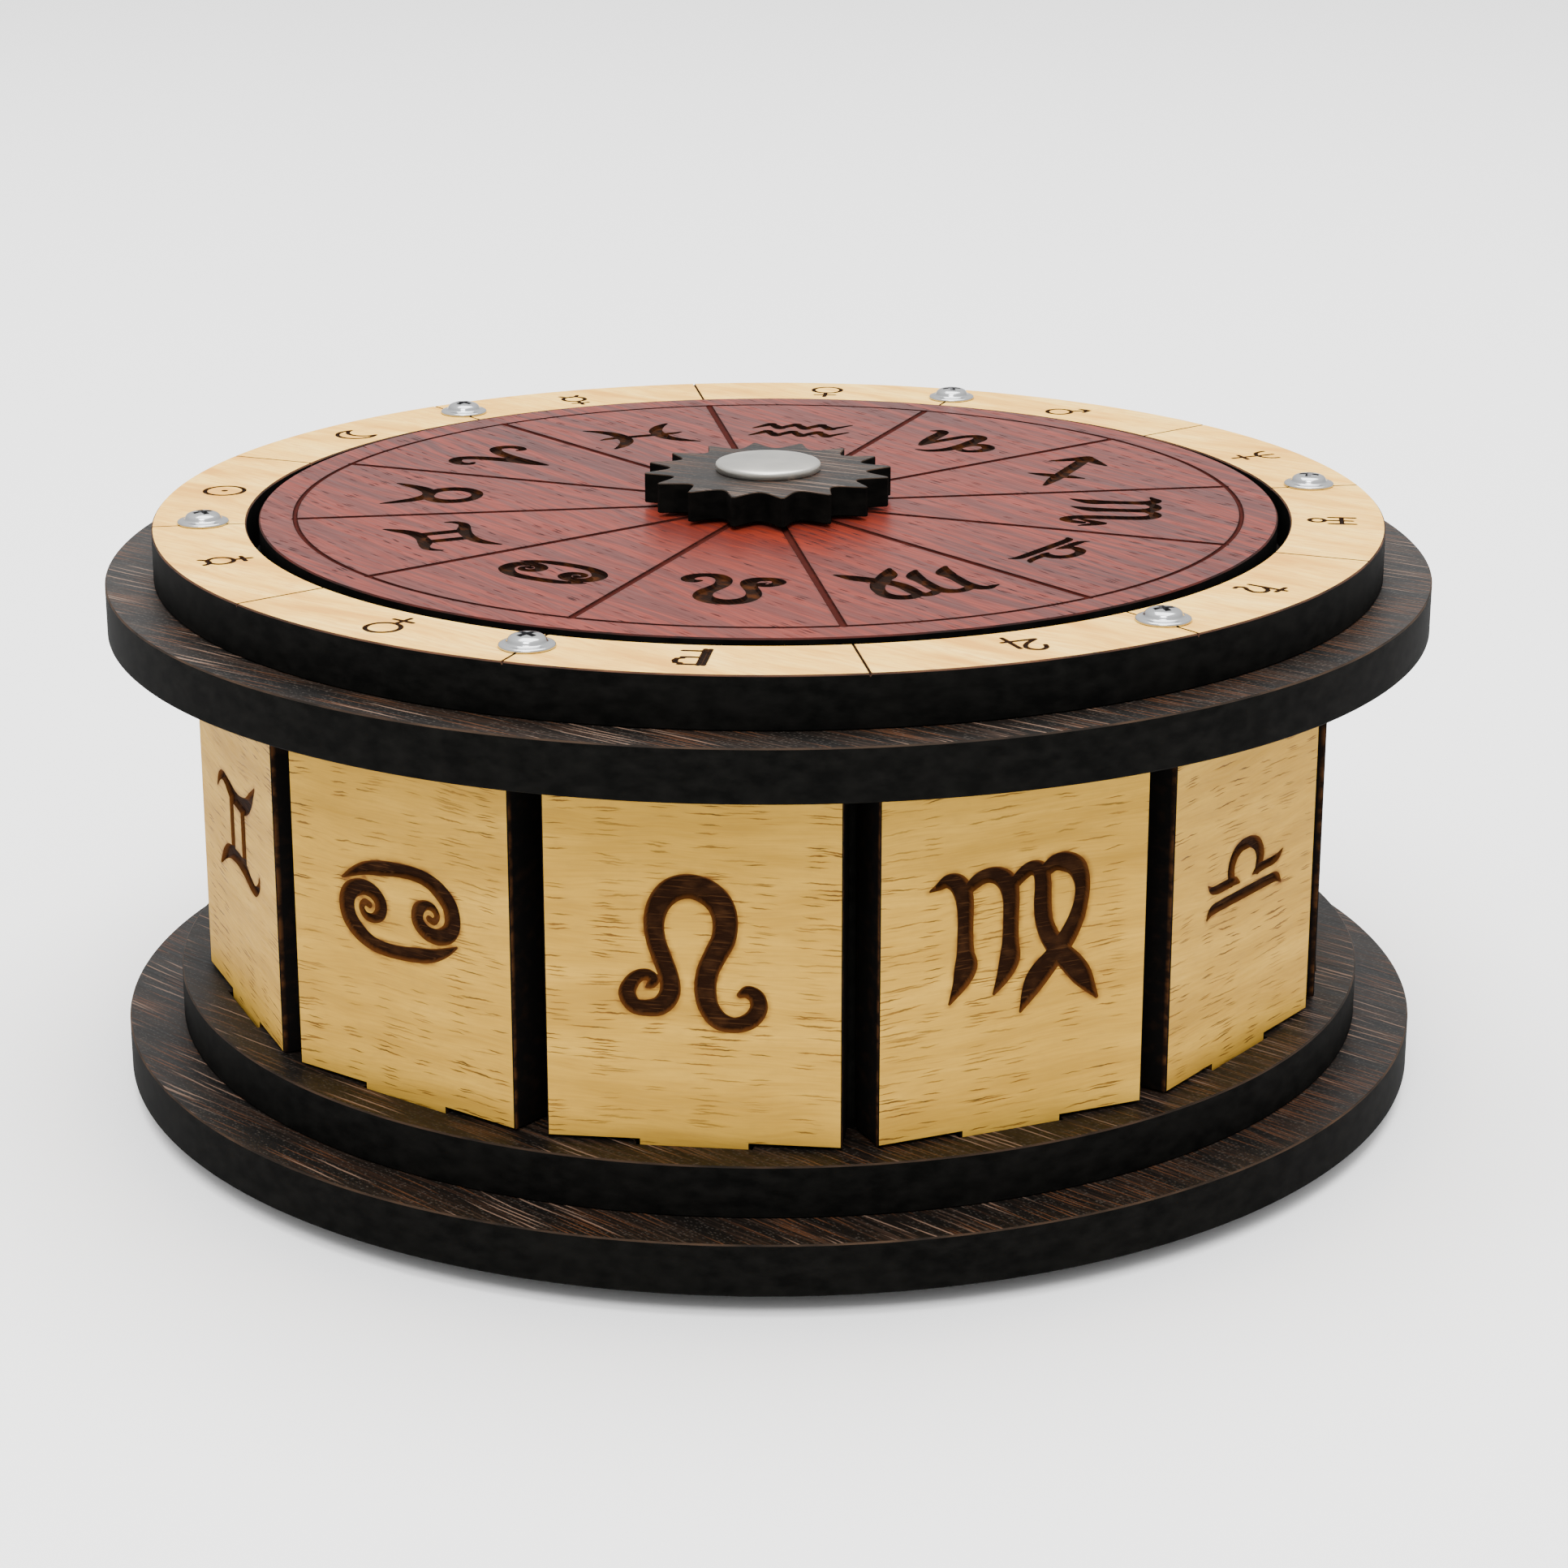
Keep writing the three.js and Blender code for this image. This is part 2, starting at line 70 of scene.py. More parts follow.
SIGN_STROKES = {
    "leo": [
        [(-4.15, -3.0, .3), (-3.75, -2.75, .8), (-3.5, -2.3, 1.05), (-4.0, -1.85, 1.1),
         (-4.8, -1.95, 1.2), (-5.5, -2.6, 1.4), (-5.9, -3.7, 1.6),
         (-5.3, -4.8, 1.5), (-4.1, -5.0, 1.6), (-2.9, -4.7, 1.8), (-2.1, -3.6, 1.9),
         (-2.1, -2.1, 1.8), (-2.7, -.3, 1.8), (-3.3, 1.6, 1.8), (-3.4, 3.4, 1.9),
         (-2.9, 5.0, 2.1), (-1.8, 6.2, 2.3), (-.3, 6.6, 2.3), (1.2, 6.2, 2.4),
         (2.4, 5.1, 2.4), (2.9, 3.6, 2.3), (2.75, 1.8, 2.2), (2.0, .2, 2.1),
         (1.3, -1.4, 2.0), (1.1, -3.1, 2.0), (1.4, -4.7, 1.9), (2.3, -5.9, 1.8),
         (3.7, -6.3, 1.5), (5.1, -5.8, 1.6), (5.85, -4.7, 1.6), (5.7, -3.6, 1.5),
         (4.9, -3.1, 1.2), (4.2, -3.4, .6)]],
    "virgo": [
        [(-8.5, 5.8, .2), (-7.7, 6.1, .7), (-6.7, 6.55, 1.3), (-5.7, 6.1, 1.8),
         (-5.1, 4.8, 1.8), (-4.95, 3, 1.6), (-4.95, 1, 1.6), (-4.9, -.6, 1.8),
         (-4.85, -1.9, 2.3), (-5.4, -3.4, 1.5), (-6.4, -5.1, .3)],
        [(-5.0, 5.2, .9), (-4.0, 6.1, 1.3), (-2.9, 6.55, 1.4), (-1.7, 6.35, 1.7),
         (-.8, 5.5, 1.9), (-.45, 4.0, 1.7), (-.45, 2, 1.6), (-.45, 0, 1.7),
         (-.5, -1.7, 2.1), (-1.1, -3.3, 1.4), (-2.0, -4.8, .3)],
        [(-.3, 5.2, 1.0), (.5, 6.1, 1.3), (1.5, 6.65, 1.4), (2.4, 6.3, 1.6),
         (2.7, 5, 1.7), (2.7, 3.2, 1.8), (2.9, 1.4, 1.8), (3.6, -.3, 1.9),
         (4.6, -1.7, 2.0), (5.9, -3.1, 2.2), (6.9, -4.4, 2.0), (8.4, -6.6, .4)],
        [(3.0, 6.3, 1.3), (3.9, 6.85, 1.6), (5.0, 6.8, 1.9), (6.1, 6.1, 1.9),
         (6.65, 4.6, 1.6), (6.6, 3.0, 1.5), (6.1, 1.2, 1.7), (5.2, -.5, 1.9),
         (4.0, -2.0, 2.0), (2.6, -3.5, 2.3), (1.8, -4.7, 1.9), (.7, -6.9, .3)]],
    "libra": [
        [(-6.9, .7, .15), (-6.2, .1, .7), (-5, -.1, 1.0), (-3.4, -.1, 1.0),
         (-2.0, -.15, .9), (-1.0, -.55, .2)],
        [(-2.5, -.1, 1.1), (-2.7, 1.2, 1.3), (-2.1, 2.4, 1.3), (-.9, 3.0, 1.2),
         (0, 3.05, 1.2), (.9, 3.0, 1.2), (2.1, 2.4, 1.4), (2.75, 1.2, 1.5),
         (2.4, -.1, 1.2)],
        [(1.4, -.4, .2), (2.4, -.15, .9), (3.8, -.1, .9), (5.3, -.1, .9),
         (6.3, .1, .7), (7.1, .6, .15)],
        [(-6.9, -2.6, .3), (-6.1, -1.95, 1.0), (-4, -1.85, 1.1), (0, -1.85, 1.1),
         (4, -1.85, 1.1), (6.0, -1.95, 1.0), (7.0, -2.7, .2)]],
    "scorpio": [
        [(-8.3, 5.8, .2), (-7.5, 6.1, .7), (-6.5, 6.55, 1.3), (-5.5, 6.1, 1.8),
         (-4.9, 4.8, 1.8), (-4.75, 3, 1.6), (-4.75, .6, 1.6), (-4.7, -1.9, 2.3),
         (-5.2, -3.4, 1.5), (-6.2, -5.1, .3)],
        [(-4.8, 5.2, .9), (-3.8, 6.1, 1.3), (-2.7, 6.55, 1.4), (-1.5, 6.35, 1.7),
         (-.6, 5.5, 1.9), (-.25, 4.0, 1.7), (-.25, 2, 1.6), (-.25, 0, 1.7),
         (-.3, -1.7, 2.1), (-.9, -3.3, 1.4), (-1.8, -4.8, .3)],
        [(-.1, 5.2, 1.0), (.7, 6.1, 1.3), (1.8, 6.6, 1.5), (3.1, 6.2, 1.8),
         (3.9, 4.8, 1.9), (4.1, 2.8, 1.8), (4.1, .4, 1.8), (4.1, -2.2, 1.8),
         (4.5, -4.4, 1.7), (5.5, -5.4, 1.5), (6.6, -4.8, 1.3), (7.3, -3.2, 1.1)],
        [(5.2, -3.6, .3), (6.3, -2.2, 1.1), (7.5, -.6, 1.5)],
        [(9.0, -3.4, .3), (8.3, -2.0, 1.1), (7.5, -.6, 1.5)]],
    "sagittarius": [
        [(-6.6, -6.8, .4), (-3.4, -3.4, 1.7), (0, .2, 1.8), (3.2, 3.6, 1.8),
         (6.4, 6.8, 1.5)],
        [(6.6, 7.0, 1.4), (3.6, 6.6, 1.6), (.8, 6.9, .3)],
        [(6.6, 7.0, 1.4), (6.3, 3.9, 1.6), (6.7, 1.0, .3)],
        [(-5.0, .2, .3), (-3.2, -1.4, 1.5), (-.9, -3.6, 1.5), (1.0, -5.3, .3)]],
    "capricorn": [
        [(-7.2, 4.8, .3), (-6.0, 5.6, 1.2), (-5.0, 4.4, 1.7), (-4.3, 1.0, 1.8),
         (-3.6, -2.0, 1.5), (-3.0, -4.0, .7)],
        [(-3.1, -3.6, .9), (-2.2, .4, 1.2), (-1.0, 4.2, 1.4), (.4, 5.6, 1.7),
         (1.7, 4.6, 1.9), (2.1, 1.6, 1.9), (2.2, -1.6, 1.8), (1.6, -4.6, 1.6),
         (.2, -6.4, 1.2), (-1.8, -6.9, .3)],
        [(2.2, -1.6, 1.3), (3.2, .5, 1.4), (4.9, 1.1, 1.6), (6.3, -.2, 1.7),
         (6.2, -2.2, 1.5), (4.8, -3.5, 1.3), (3.2, -3.2, 1.1), (2.2, -2.0, .9)]],
    "aquarius": [
        stroke for drop in (0, -5) for stroke in (
            [(-7.2, 1.0 + drop, .3), (-4.9, 3.9 + drop, 1.5)],
            [(-5.0, 4.1 + drop, .9), (-3.3, 1.4 + drop, 1.6)],
            [(-3.4, 1.3 + drop, .9), (-1.1, 3.9 + drop, 1.5)],
            [(-1.2, 4.1 + drop, .9), (.5, 1.4 + drop, 1.6)],
            [(.4, 1.3 + drop, .9), (2.7, 3.9 + drop, 1.5)],
            [(2.6, 4.1 + drop, .9), (4.3, 1.4 + drop, 1.6)],
            [(4.2, 1.2 + drop, 1.1), (7.2, 4.3 + drop, .3)])],
    "pisces": [
        *([(side * x, y, w) for x, y, w in (
            (6.6, 6.6, .3), (4.8, 5.0, 1.3), (3.3, 2.6, 1.8), (2.9, 0, 2.0),
            (3.3, -2.6, 1.8), (4.8, -5.0, 1.3), (6.6, -6.6, .3))] for side in (-1, 1)),
        [(-6.4, -.3, .3), (-4.6, .1, 1.0), (0, 0, 1.2), (4.6, -.1, 1.0), (6.4, .3, .3)]],
    "aries": [
        [(.1, -7.2, .3), (-.2, -4.6, 1.7), (-.6, -1.4, 1.9), (-1.4, 1.8, 1.9),
         (-2.6, 4.6, 1.8), (-4.2, 5.9, 1.7), (-5.8, 5.2, 1.7), (-6.4, 3.6, 1.4),
         (-5.8, 2.3, .9), (-4.9, 2.5, .5)],
        [(.1, -7.2, .3), (.2, -4.6, 1.5), (.6, -1.4, 1.7), (1.4, 1.8, 1.7),
         (2.6, 4.6, 1.6), (4.2, 5.9, 1.6), (5.8, 5.2, 1.7), (6.4, 3.6, 1.4),
         (5.8, 2.3, .9), (4.9, 2.5, .5)]],
    "taurus": [
        [(-6.0, 6.4, .25), (-4.9, 4.6, 1.2), (-3.4, 2.6, 1.7), (-1.6, 1.3, 1.8),
         (0, 1.0, 1.6), (1.6, 1.3, 1.8), (3.4, 2.6, 1.7), (4.9, 4.6, 1.2),
         (6.2, 6.7, .25)],
        [(0, 1.1, 1.4), (-2.1, .5, 1.6), (-3.5, -1.2, 1.9), (-3.5, -3.4, 1.9),
         (-2.1, -5.2, 1.6), (0, -5.8, 1.4), (2.1, -5.2, 1.6), (3.5, -3.4, 1.9),
         (3.5, -1.2, 1.9), (2.1, .5, 1.6), (0, 1.1, 1.4)]],
    "gemini": [
        [(-7.0, 3.2, .3), (-6.2, 4.2, .8), (-5.2, 4.7, 1.0), (-4, 4.6, 1.2),
         (-2, 3.9, 1.8), (0, 3.6, 1.6), (2, 3.6, 1.8), (3.8, 4.1, 1.7),
         (5.3, 5.2, 1.4), (6.9, 6.7, .3)],
        [(-7, -4.9, .3), (-5.3, -3.5, 1.2), (-3.6, -2.7, 1.5), (-1.5, -2.5, 1.5),
         (.5, -2.6, 1.6), (2.5, -3.0, 1.7), (4.3, -3.7, 1.4), (5.8, -3.9, 1.1),
         (7.0, -3.1, .8), (7.4, -2.1, .3)],
        [(-1.9, 3.4, 1.4), (-1.9, .5, 1.4), (-1.9, -2.3, 1.4)],
        [(2.1, 3.4, 1.5), (2.1, .5, 1.5), (2.1, -2.7, 1.5)]],
    "cancer": [
        [(-7, 2.3, .25), (-5.6, 3.1, .9), (-4, 3.75, 1.3), (-2.2, 4.1, 1.5),
         (-.2, 4.35, 1.4), (1.8, 4.4, 1.4), (3.6, 4.1, 1.5), (5.1, 3.3, 1.8),
         (6.2, 2.1, 1.9), (6.45, .6, 1.9), (5.9, -.5, 1.8), (4.6, -1.1, 1.6),
         (3.2, -.95, 1.5), (2.25, -.1, 1.5), (2.3, 1.0, 1.4), (3.1, 1.65, 1.0),
         (4.1, 1.6, .8), (4.6, .9, .7), (4.2, .3, .7), (3.6, .45, .7)]],
}
# The second hook of Cancer is the first one turned half way round.
SIGN_STROKES["cancer"].append(
    [(-.1 - x, .7 - y, w) for x, y, w in SIGN_STROKES["cancer"][0]])


THIN = .3             # stroke width of the planet marks


def arc(cx, cy, radius, start, end, steps=14):
    """Thin round stroke between two angles in degrees."""
    points = []
    for i in range(steps + 1):
        a = math.radians(start + (end - start) * i / steps)
        points.append((cx + radius * math.cos(a), cy + radius * math.sin(a), THIN))
    return points


def line(x0, y0, x1, y1):
    """Thin straight stroke."""
    return [(x0, y0, THIN), (x1, y1, THIN)]


PLANET_STROKES = {
    "pluto": [line(-1.45, -2.6, -1.45, 2.4), line(-1.0, -2.6, -1.0, 2.4),
              line(-1.0, 2.25, .7, 2.25), line(-1.0, 0, .7, 0),
              arc(.45, 1.12, 1.12 * .7, -80, 80), line(1.1, .5, 1.1, 1.8),
              line(-1.2, -2.0, .9, -2.0)],
    "jupiter": [[(-1.8, 1.1, THIN), (-1.5, 1.9, THIN), (-.8, 2.3, THIN), (-.1, 1.9, THIN),
                 (.1, 1.1, THIN), (-.5, .1, THIN), (-1.8, -.9, THIN)],
                line(-1.8, -.95, 1.4, -.95), line(.75, 1.3, .75, -2.3)],
    "saturn": [line(-1.2, 2.2, -1.2, -1.7), line(-2.1, 1.6, -.4, 1.6),
               [(-1.2, -.2, THIN), (-.5, .7, THIN), (.4, .8, THIN), (.9, 0, THIN),
                (.5, -.9, THIN), (0, -1.5, THIN), (.2, -2.1, THIN), (.7, -2.1, THIN)]],
    "uranus": [line(-1.3, 2.3, -1.3, -.2), line(1.3, 2.3, 1.3, -.2),
               line(-1.3, 1.0, 1.3, 1.0), line(0, 2.0, 0, -.6),
               arc(0, -1.4, .75, 0, 360)],
    "neptune": [arc(0, 2.2, 1.6, 180, 360), line(0, 2.4, 0, -2.4),
                line(-1.0, -1.2, 1.0, -1.2)],
    "mars": [arc(-.4, -.6, 1.35, 0, 360, 20), line(.6, .4, 1.9, 1.8),
             line(.8, 1.9, 2.0, 1.9), line(2.0, .7, 2.0, 1.9)],
    "venus": [arc(0, 1.2, 1.6, 0, 360, 20), line(0, -.4, 0, -2.5),
              line(-1.1, -1.5, 1.1, -1.5)],
    "mercury": [arc(0, .4, 1.25, 0, 360, 20), line(0, -.9, 0, -2.6),
                line(-.9, -1.8, .9, -1.8), arc(0, 2.6, 1.1, 200, 340)],
    "moon": [arc(0, 0, 2.1, 60, 300, 20), arc(1.3, 0, 1.85, 105, 255, 16)],
    "sun": [arc(0, 0, 2.0, 0, 360, 24), arc(0, 0, .12, 0, 360, 6)],
}
PLANETS = ["pluto", "jupiter", "saturn", "uranus", "neptune", "mars",
           "venus", "mercury", "moon", "sun", "mercury", "venus"]


def smooth_path(points, steps=8):
    """Catmull-Rom spline through the points, width included."""
    p = np.array(points, float)
    if len(p) == 2:
        return p
    q = np.vstack([2 * p[0] - p[1], p, 2 * p[-1] - p[-2]])
    t = (np.arange(steps) / steps)[:, None]
    out = []
    for a, b, c, d in zip(q[:-3], q[1:-2], q[2:-1], q[3:]):
        out.append(.5 * (2 * b + (c - a) * t + (2 * a - 5 * b + 4 * c - d) * t ** 2
                         + (3 * b - a - 3 * c + d) * t ** 3))
    return np.vstack(out + [p[-1:]])


class Field:
    """Distance to a set of strokes, on a grid. Negative inside a stroke."""

    FAR = 3.0

    def __init__(self, x0, y0, x1, y1, cell):
        self.x0, self.y0, self.cell = x0, y0, cell
        self.shape = (int((y1 - y0) / cell) + 2, int((x1 - x0) / cell) + 2)
        self.grid = np.full(self.shape, self.FAR)

    def add(self, stroke, place=lambda p: p):
        path = place(smooth_path(stroke))
        reach = self.FAR / 2
        for a, b in zip(path[:-1], path[1:]):
            pad = max(a[2], b[2]) / 2 + reach
            i0 = max(0, int((min(a[0], b[0]) - pad - self.x0) / self.cell))
            i1 = max(0, int((max(a[0], b[0]) + pad - self.x0) / self.cell) + 2)
            j0 = max(0, int((min(a[1], b[1]) - pad - self.y0) / self.cell))
            j1 = max(0, int((max(a[1], b[1]) + pad - self.y0) / self.cell) + 2)
            part = self.grid[j0:j1, i0:i1]
            if not part.size:
                continue
            x = self.x0 + self.cell * (i0 + np.arange(part.shape[1]))[None, :] - a[0]
            y = self.y0 + self.cell * (j0 + np.arange(part.shape[0]))[:, None] - a[1]
            dx, dy = b[0] - a[0], b[1] - a[1]
            t = np.clip((x * dx + y * dy) / max(dx * dx + dy * dy, 1e-9), 0, 1)
            d = np.hypot(x - t * dx, y - t * dy) - .5 * (a[2] + (b[2] - a[2]) * t)
            np.minimum(part, d, out=part)

    def ring(self, radius, width):
        x = self.x0 + self.cell * np.arange(self.shape[1])[None, :]
        y = self.y0 + self.cell * np.arange(self.shape[0])[:, None]
        np.minimum(self.grid, abs(np.hypot(x, y) - radius) - width / 2, out=self.grid)

    def at(self, points):
        u = (points[:, 0] - self.x0) / self.cell
        v = (points[:, 1] - self.y0) / self.cell
        i = np.clip(u.astype(int), 0, self.shape[1] - 2)
        j = np.clip(v.astype(int), 0, self.shape[0] - 2)
        u, v = np.clip(u - i, 0, 1), np.clip(v - j, 0, 1)
        g = self.grid
        low = g[j, i] * (1 - u) + g[j, i + 1] * u
        high = g[j + 1, i] * (1 - u) + g[j + 1, i + 1] * u
        return low * (1 - v) + high * v

    def contours(self, level):
        """Closed polylines where the distance equals level."""
        g = self.grid - level
        inside = g < 0
        across = inside[:, 1:] != inside[:, :-1]
        up = inside[1:, :] != inside[:-1, :]
        links = {}
        cells = across[:-1] | across[1:] | up[:, :-1] | up[:, 1:]
        for j, i in np.argwhere(cells):
            j, i = int(j), int(i)
            edges = [e for e, hit in (((0, j, i), across[j, i]),
                                      ((1, j, i + 1), up[j, i + 1]),
                                      ((0, j + 1, i), across[j + 1, i]),
                                      ((1, j, i), up[j, i])) if hit]
            if len(edges) == 4 and (g[j:j + 2, i:i + 2].mean() < 0) == inside[j, i]:
                edges = edges[1:] + edges[:1]
            for a, b in zip(edges[::2], edges[1::2]):
                links.setdefault(a, []).append(b)
                links.setdefault(b, []).append(a)
        loops = []
        while links:
            start, nexts = next(iter(links.items()))
            loop, here = [start], nexts[0]
            del links[start]
            while here in links:
                loop.append(here)
                options = [e for e in links.pop(here) if e in links]
                if not options:
                    break
                here = options[0]
            points = []
            for kind, j, i in loop:
                other = g[j, i + 1] if kind == 0 else g[j + 1, i]
                t = g[j, i] / (g[j, i] - other)
                x, y = (i + t, j) if kind == 0 else (i, j + t)
                points.append((self.x0 + x * self.cell, self.y0 + y * self.cell))
            if len(points) > 5:
                loops.append(thinned(np.array(points)))
        return loops


def thinned(points, tolerance=.012):
    """Ramer-Douglas-Peucker thinning of a closed polyline."""
    keep = np.zeros(len(points), bool)
    middle = len(points) // 2
    keep[[0, middle, -1]] = True
    spans = [(0, middle), (middle, len(points) - 1)]
    while spans:
        a, b = spans.pop()
        if b - a < 2:
            continue
        d = points[b] - points[a]
        r = points[a + 1:b] - points[a]
        off = abs(r[:, 0] * d[1] - r[:, 1] * d[0]) / (np.hypot(*d) + 1e-12)
        worst = int(off.argmax())
        if off[worst] > tolerance:
            worst += a + 1
            keep[worst] = True
            spans += [(a, worst), (worst, b)]
    return points[keep]


# ---- mesh building ---------------------------------------------------------------------

def even_odd(points, loops):
    """Which points lie inside the outline, holes taken out."""
    inside = np.zeros(len(points), bool)
    for loop in loops:
        a = np.asarray(loop, float)
        b = np.roll(a, -1, axis=0)
        for (ax, ay), (bx, by) in zip(a, b):
            if ay == by:
                continue
            hit = (ay > points[:, 1]) != (by > points[:, 1])
            x = ax + (points[:, 1] - ay) * (bx - ax) / (by - ay)
            inside ^= hit & (points[:, 0] < x)
    return inside


def triangulate(loops, extra=()):
    """Constrained triangles of the area inside the outline, as points and triples."""
    points, edges = [], []
    for loop in list(loops) + list(extra):
        first = len(points)
        points += [Vector((float(x), float(y))) for x, y in loop]
        count = len(points) - first
        edges += [(first + i, first + (i + 1) % count) for i in range(count)]
    verts, _, faces = delaunay_2d_cdt(points, edges, [], 0, 1e-5)[:3]
    verts = np.array([tuple(v) for v in verts])
    faces = np.array([tuple(f) for f in faces if len(f) == 3])
    centre = verts[faces].mean(axis=1)
    faces = faces[even_odd(centre, loops)]
    a, b, c = (verts[faces[:, i]] for i in range(3))
    area = ((b[:, 0] - a[:, 0]) * (c[:, 1] - a[:, 1])
            - (b[:, 1] - a[:, 1]) * (c[:, 0] - a[:, 0]))
    faces[area < 0] = faces[area < 0][:, ::-1]
    return verts, faces[abs(area) > 1e-9]


def slab(loops, thick, bevel, field=None, depth=0.0, halo=.5, slope=.25, lines=None):
    """Flat part with its top at height 0: bevelled edges and an optional engraving.

    Returns vertices, faces, a material number per face (0 top, 1 edge, 2 engraved,
    3 underside, 4 bevel, 5 engraved line) and a burn value per vertex: 0 for clean wood
    up to 1 where it meets an engraving, and on to 2 at the bottom of the groove.
    """
    extra = []
    if field is not None:
        for level in (halo, halo * .4, 0, -slope * .4, -slope):
            extra += field.contours(level)
    points, tris = triangulate(loops, extra)
    height = np.zeros(len(points))
    burn = np.zeros(len(points))
    kind = np.zeros(len(tris), int)
    if field is not None:
        away = field.at(points)
        height = -depth * np.clip(-away / slope, 0, 1) ** .7
        burn = np.where(away > 0, np.clip(1 - away / halo, 0, 1),
                        1 + np.clip(-away / slope, 0, 1))
        centres = points[tris].mean(axis=1)
        kind[field.at(centres) < 0] = 2
        if lines is not None:
            kind[lines.at(centres) < 0] = 5
            height[lines.at(points) < 0] *= .45
    verts = [(x, y, z) for (x, y), z in zip(points, height)]
    burns = list(burn)
    faces = [[int(i) for i in tri] for tri in tris]
    kinds = list(kind)
    count = {}
    for a, b, c in faces:
        for edge in ((a, b), (b, c), (c, a)):
            count[edge] = count.get(edge, 0) + 1
    rim = [(a, b) for a, b in count if (b, a) not in count]
    normals = {}
    for a, b in rim:
        d = points[b] - points[a]
        n = np.array((d[1], -d[0])) / (np.hypot(*d) + 1e-12)
        normals.setdefault(a, []).append(n)
        normals.setdefault(b, []).append(n)
    rows = []
    for level in range(3):
        row = {}
        for i, n in normals.items():
            grow = (n[0] + n[-1]) / max(.4, 1 + float(n[0] @ n[-1])) * bevel
            if level == 2:
                grow = grow * 0
            z = (height[i] - bevel, -thick + bevel, -thick)[level]
            row[i] = len(verts)
            verts.append((points[i][0] + grow[0], points[i][1] + grow[1], z))
            burns.append((1.0, 0.0, 0.0)[level])
        rows.append(row)
    rows = [{i: i for i in normals}] + rows
    for a, b in rim:
        for number, (upper, lower) in enumerate(zip(rows[:-1], rows[1:])):
            faces.append([upper[a], lower[a], lower[b], upper[b]])
            kinds.append((4, 1, 1)[number])
    under = [[verts[rows[3][i]][:2] for i in chain] for chain in chains(rim)]
    flat, tris = triangulate(under)
    where = {(round(verts[i][0], 4), round(verts[i][1], 4)): i for i in rows[3].values()}
    for tri in tris:
        ring = [where.get((round(flat[i][0], 4), round(flat[i][1], 4))) for i in tri]
        if None not in ring:
            faces.append(ring[::-1])
            kinds.append(3)
    return verts, faces, kinds, burns


def chains(edges):
    """Closed chains of point numbers from directed edges."""
    after = dict(edges)
    out = []
    while after:
        start = next(iter(after))
        chain = [start]
        here = after.pop(start)
        while here != start and here in after:
            chain.append(here)
            here = after.pop(here)
        out.append(chain)
    return out


def lathe(profile, segments=96):
    """Turned part from (radius, height) points, from the axis or closed on itself."""
    verts, faces = [], []
    rings = []
    for r, z in profile:
        if r < 1e-9:
            rings.append([len(verts)] * segments)
            verts.append((0, 0, z))
        else:
            rings.append(list(range(len(verts), len(verts) + segments)))
            for i in range(segments):
                a = math.tau * i / segments
                verts.append((r * math.cos(a), r * math.sin(a), z))
    for low, high in zip(rings[:-1], rings[1:]):
        for i in range(segments):
            j = (i + 1) % segments
            ring = [low[i], low[j], high[j], high[i]]
            ring = [v for k, v in enumerate(ring) if v not in ring[:k]]
            if len(ring) > 2:
                faces.append(ring)
    return verts, faces


def circle(radius, segments=256, cx=0.0, cy=0.0):
    return [(cx + radius * math.cos(math.tau * i / segments),
             cy + radius * math.sin(math.tau * i / segments)) for i in range(segments)]


def polar(radius, angle):
    return radius * math.sin(angle), -radius * math.cos(angle)


def add_object(name, data):
    obj = bpy.data.objects.new(name, data)
    bpy.context.collection.objects.link(obj)
    return obj


def build(name, verts, faces, mats, body, node, kinds=None, burns=None,
          place=Matrix.Identity(4), grain=0.0, shift=0.0, sharp=30):
    """Makes the object, gives it UVs in centimetres along the grain, and rides it."""
    mesh = bpy.data.meshes.new(name)
    mesh.from_pydata([Vector(v) * MM for v in verts], [], faces)
    for m in mats:
        mesh.materials.append(m)
    if kinds is not None:
        mesh.polygons.foreach_set("material_index", [min(k, len(mats) - 1) for k in kinds])
    mesh.polygons.foreach_set("use_smooth", [True] * len(mesh.polygons))
    mesh.set_sharp_from_angle(angle=math.radians(sharp))
    if burns is not None:
        layer = mesh.attributes.new("burn", "FLOAT", "POINT")
        layer.data.foreach_set("value", burns)
    co = np.array(verts, float)
    loop_vert = np.zeros(len(mesh.loops), int)
    mesh.loops.foreach_get("vertex_index", loop_vert)
    c, s = math.cos(grain), math.sin(grain)
    u = (co[:, 0] * c + co[:, 1] * s) * .1 + shift
    v = (co[:, 1] * c - co[:, 0] * s + co[:, 2]) * .1 + shift * .37
    uv = mesh.uv_layers.new(name="grain")
    uv.data.foreach_set("uv", np.stack([u[loop_vert], v[loop_vert]], 1).ravel())
    place = place.copy()
    place.translation *= MM
    mesh.transform(place)
    mesh.validate()
    mesh.update()
    obj = add_object(name, mesh)
    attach(obj, body)
    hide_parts(node)
    return obj


# ---- materials -------------------------------------------------------------------------

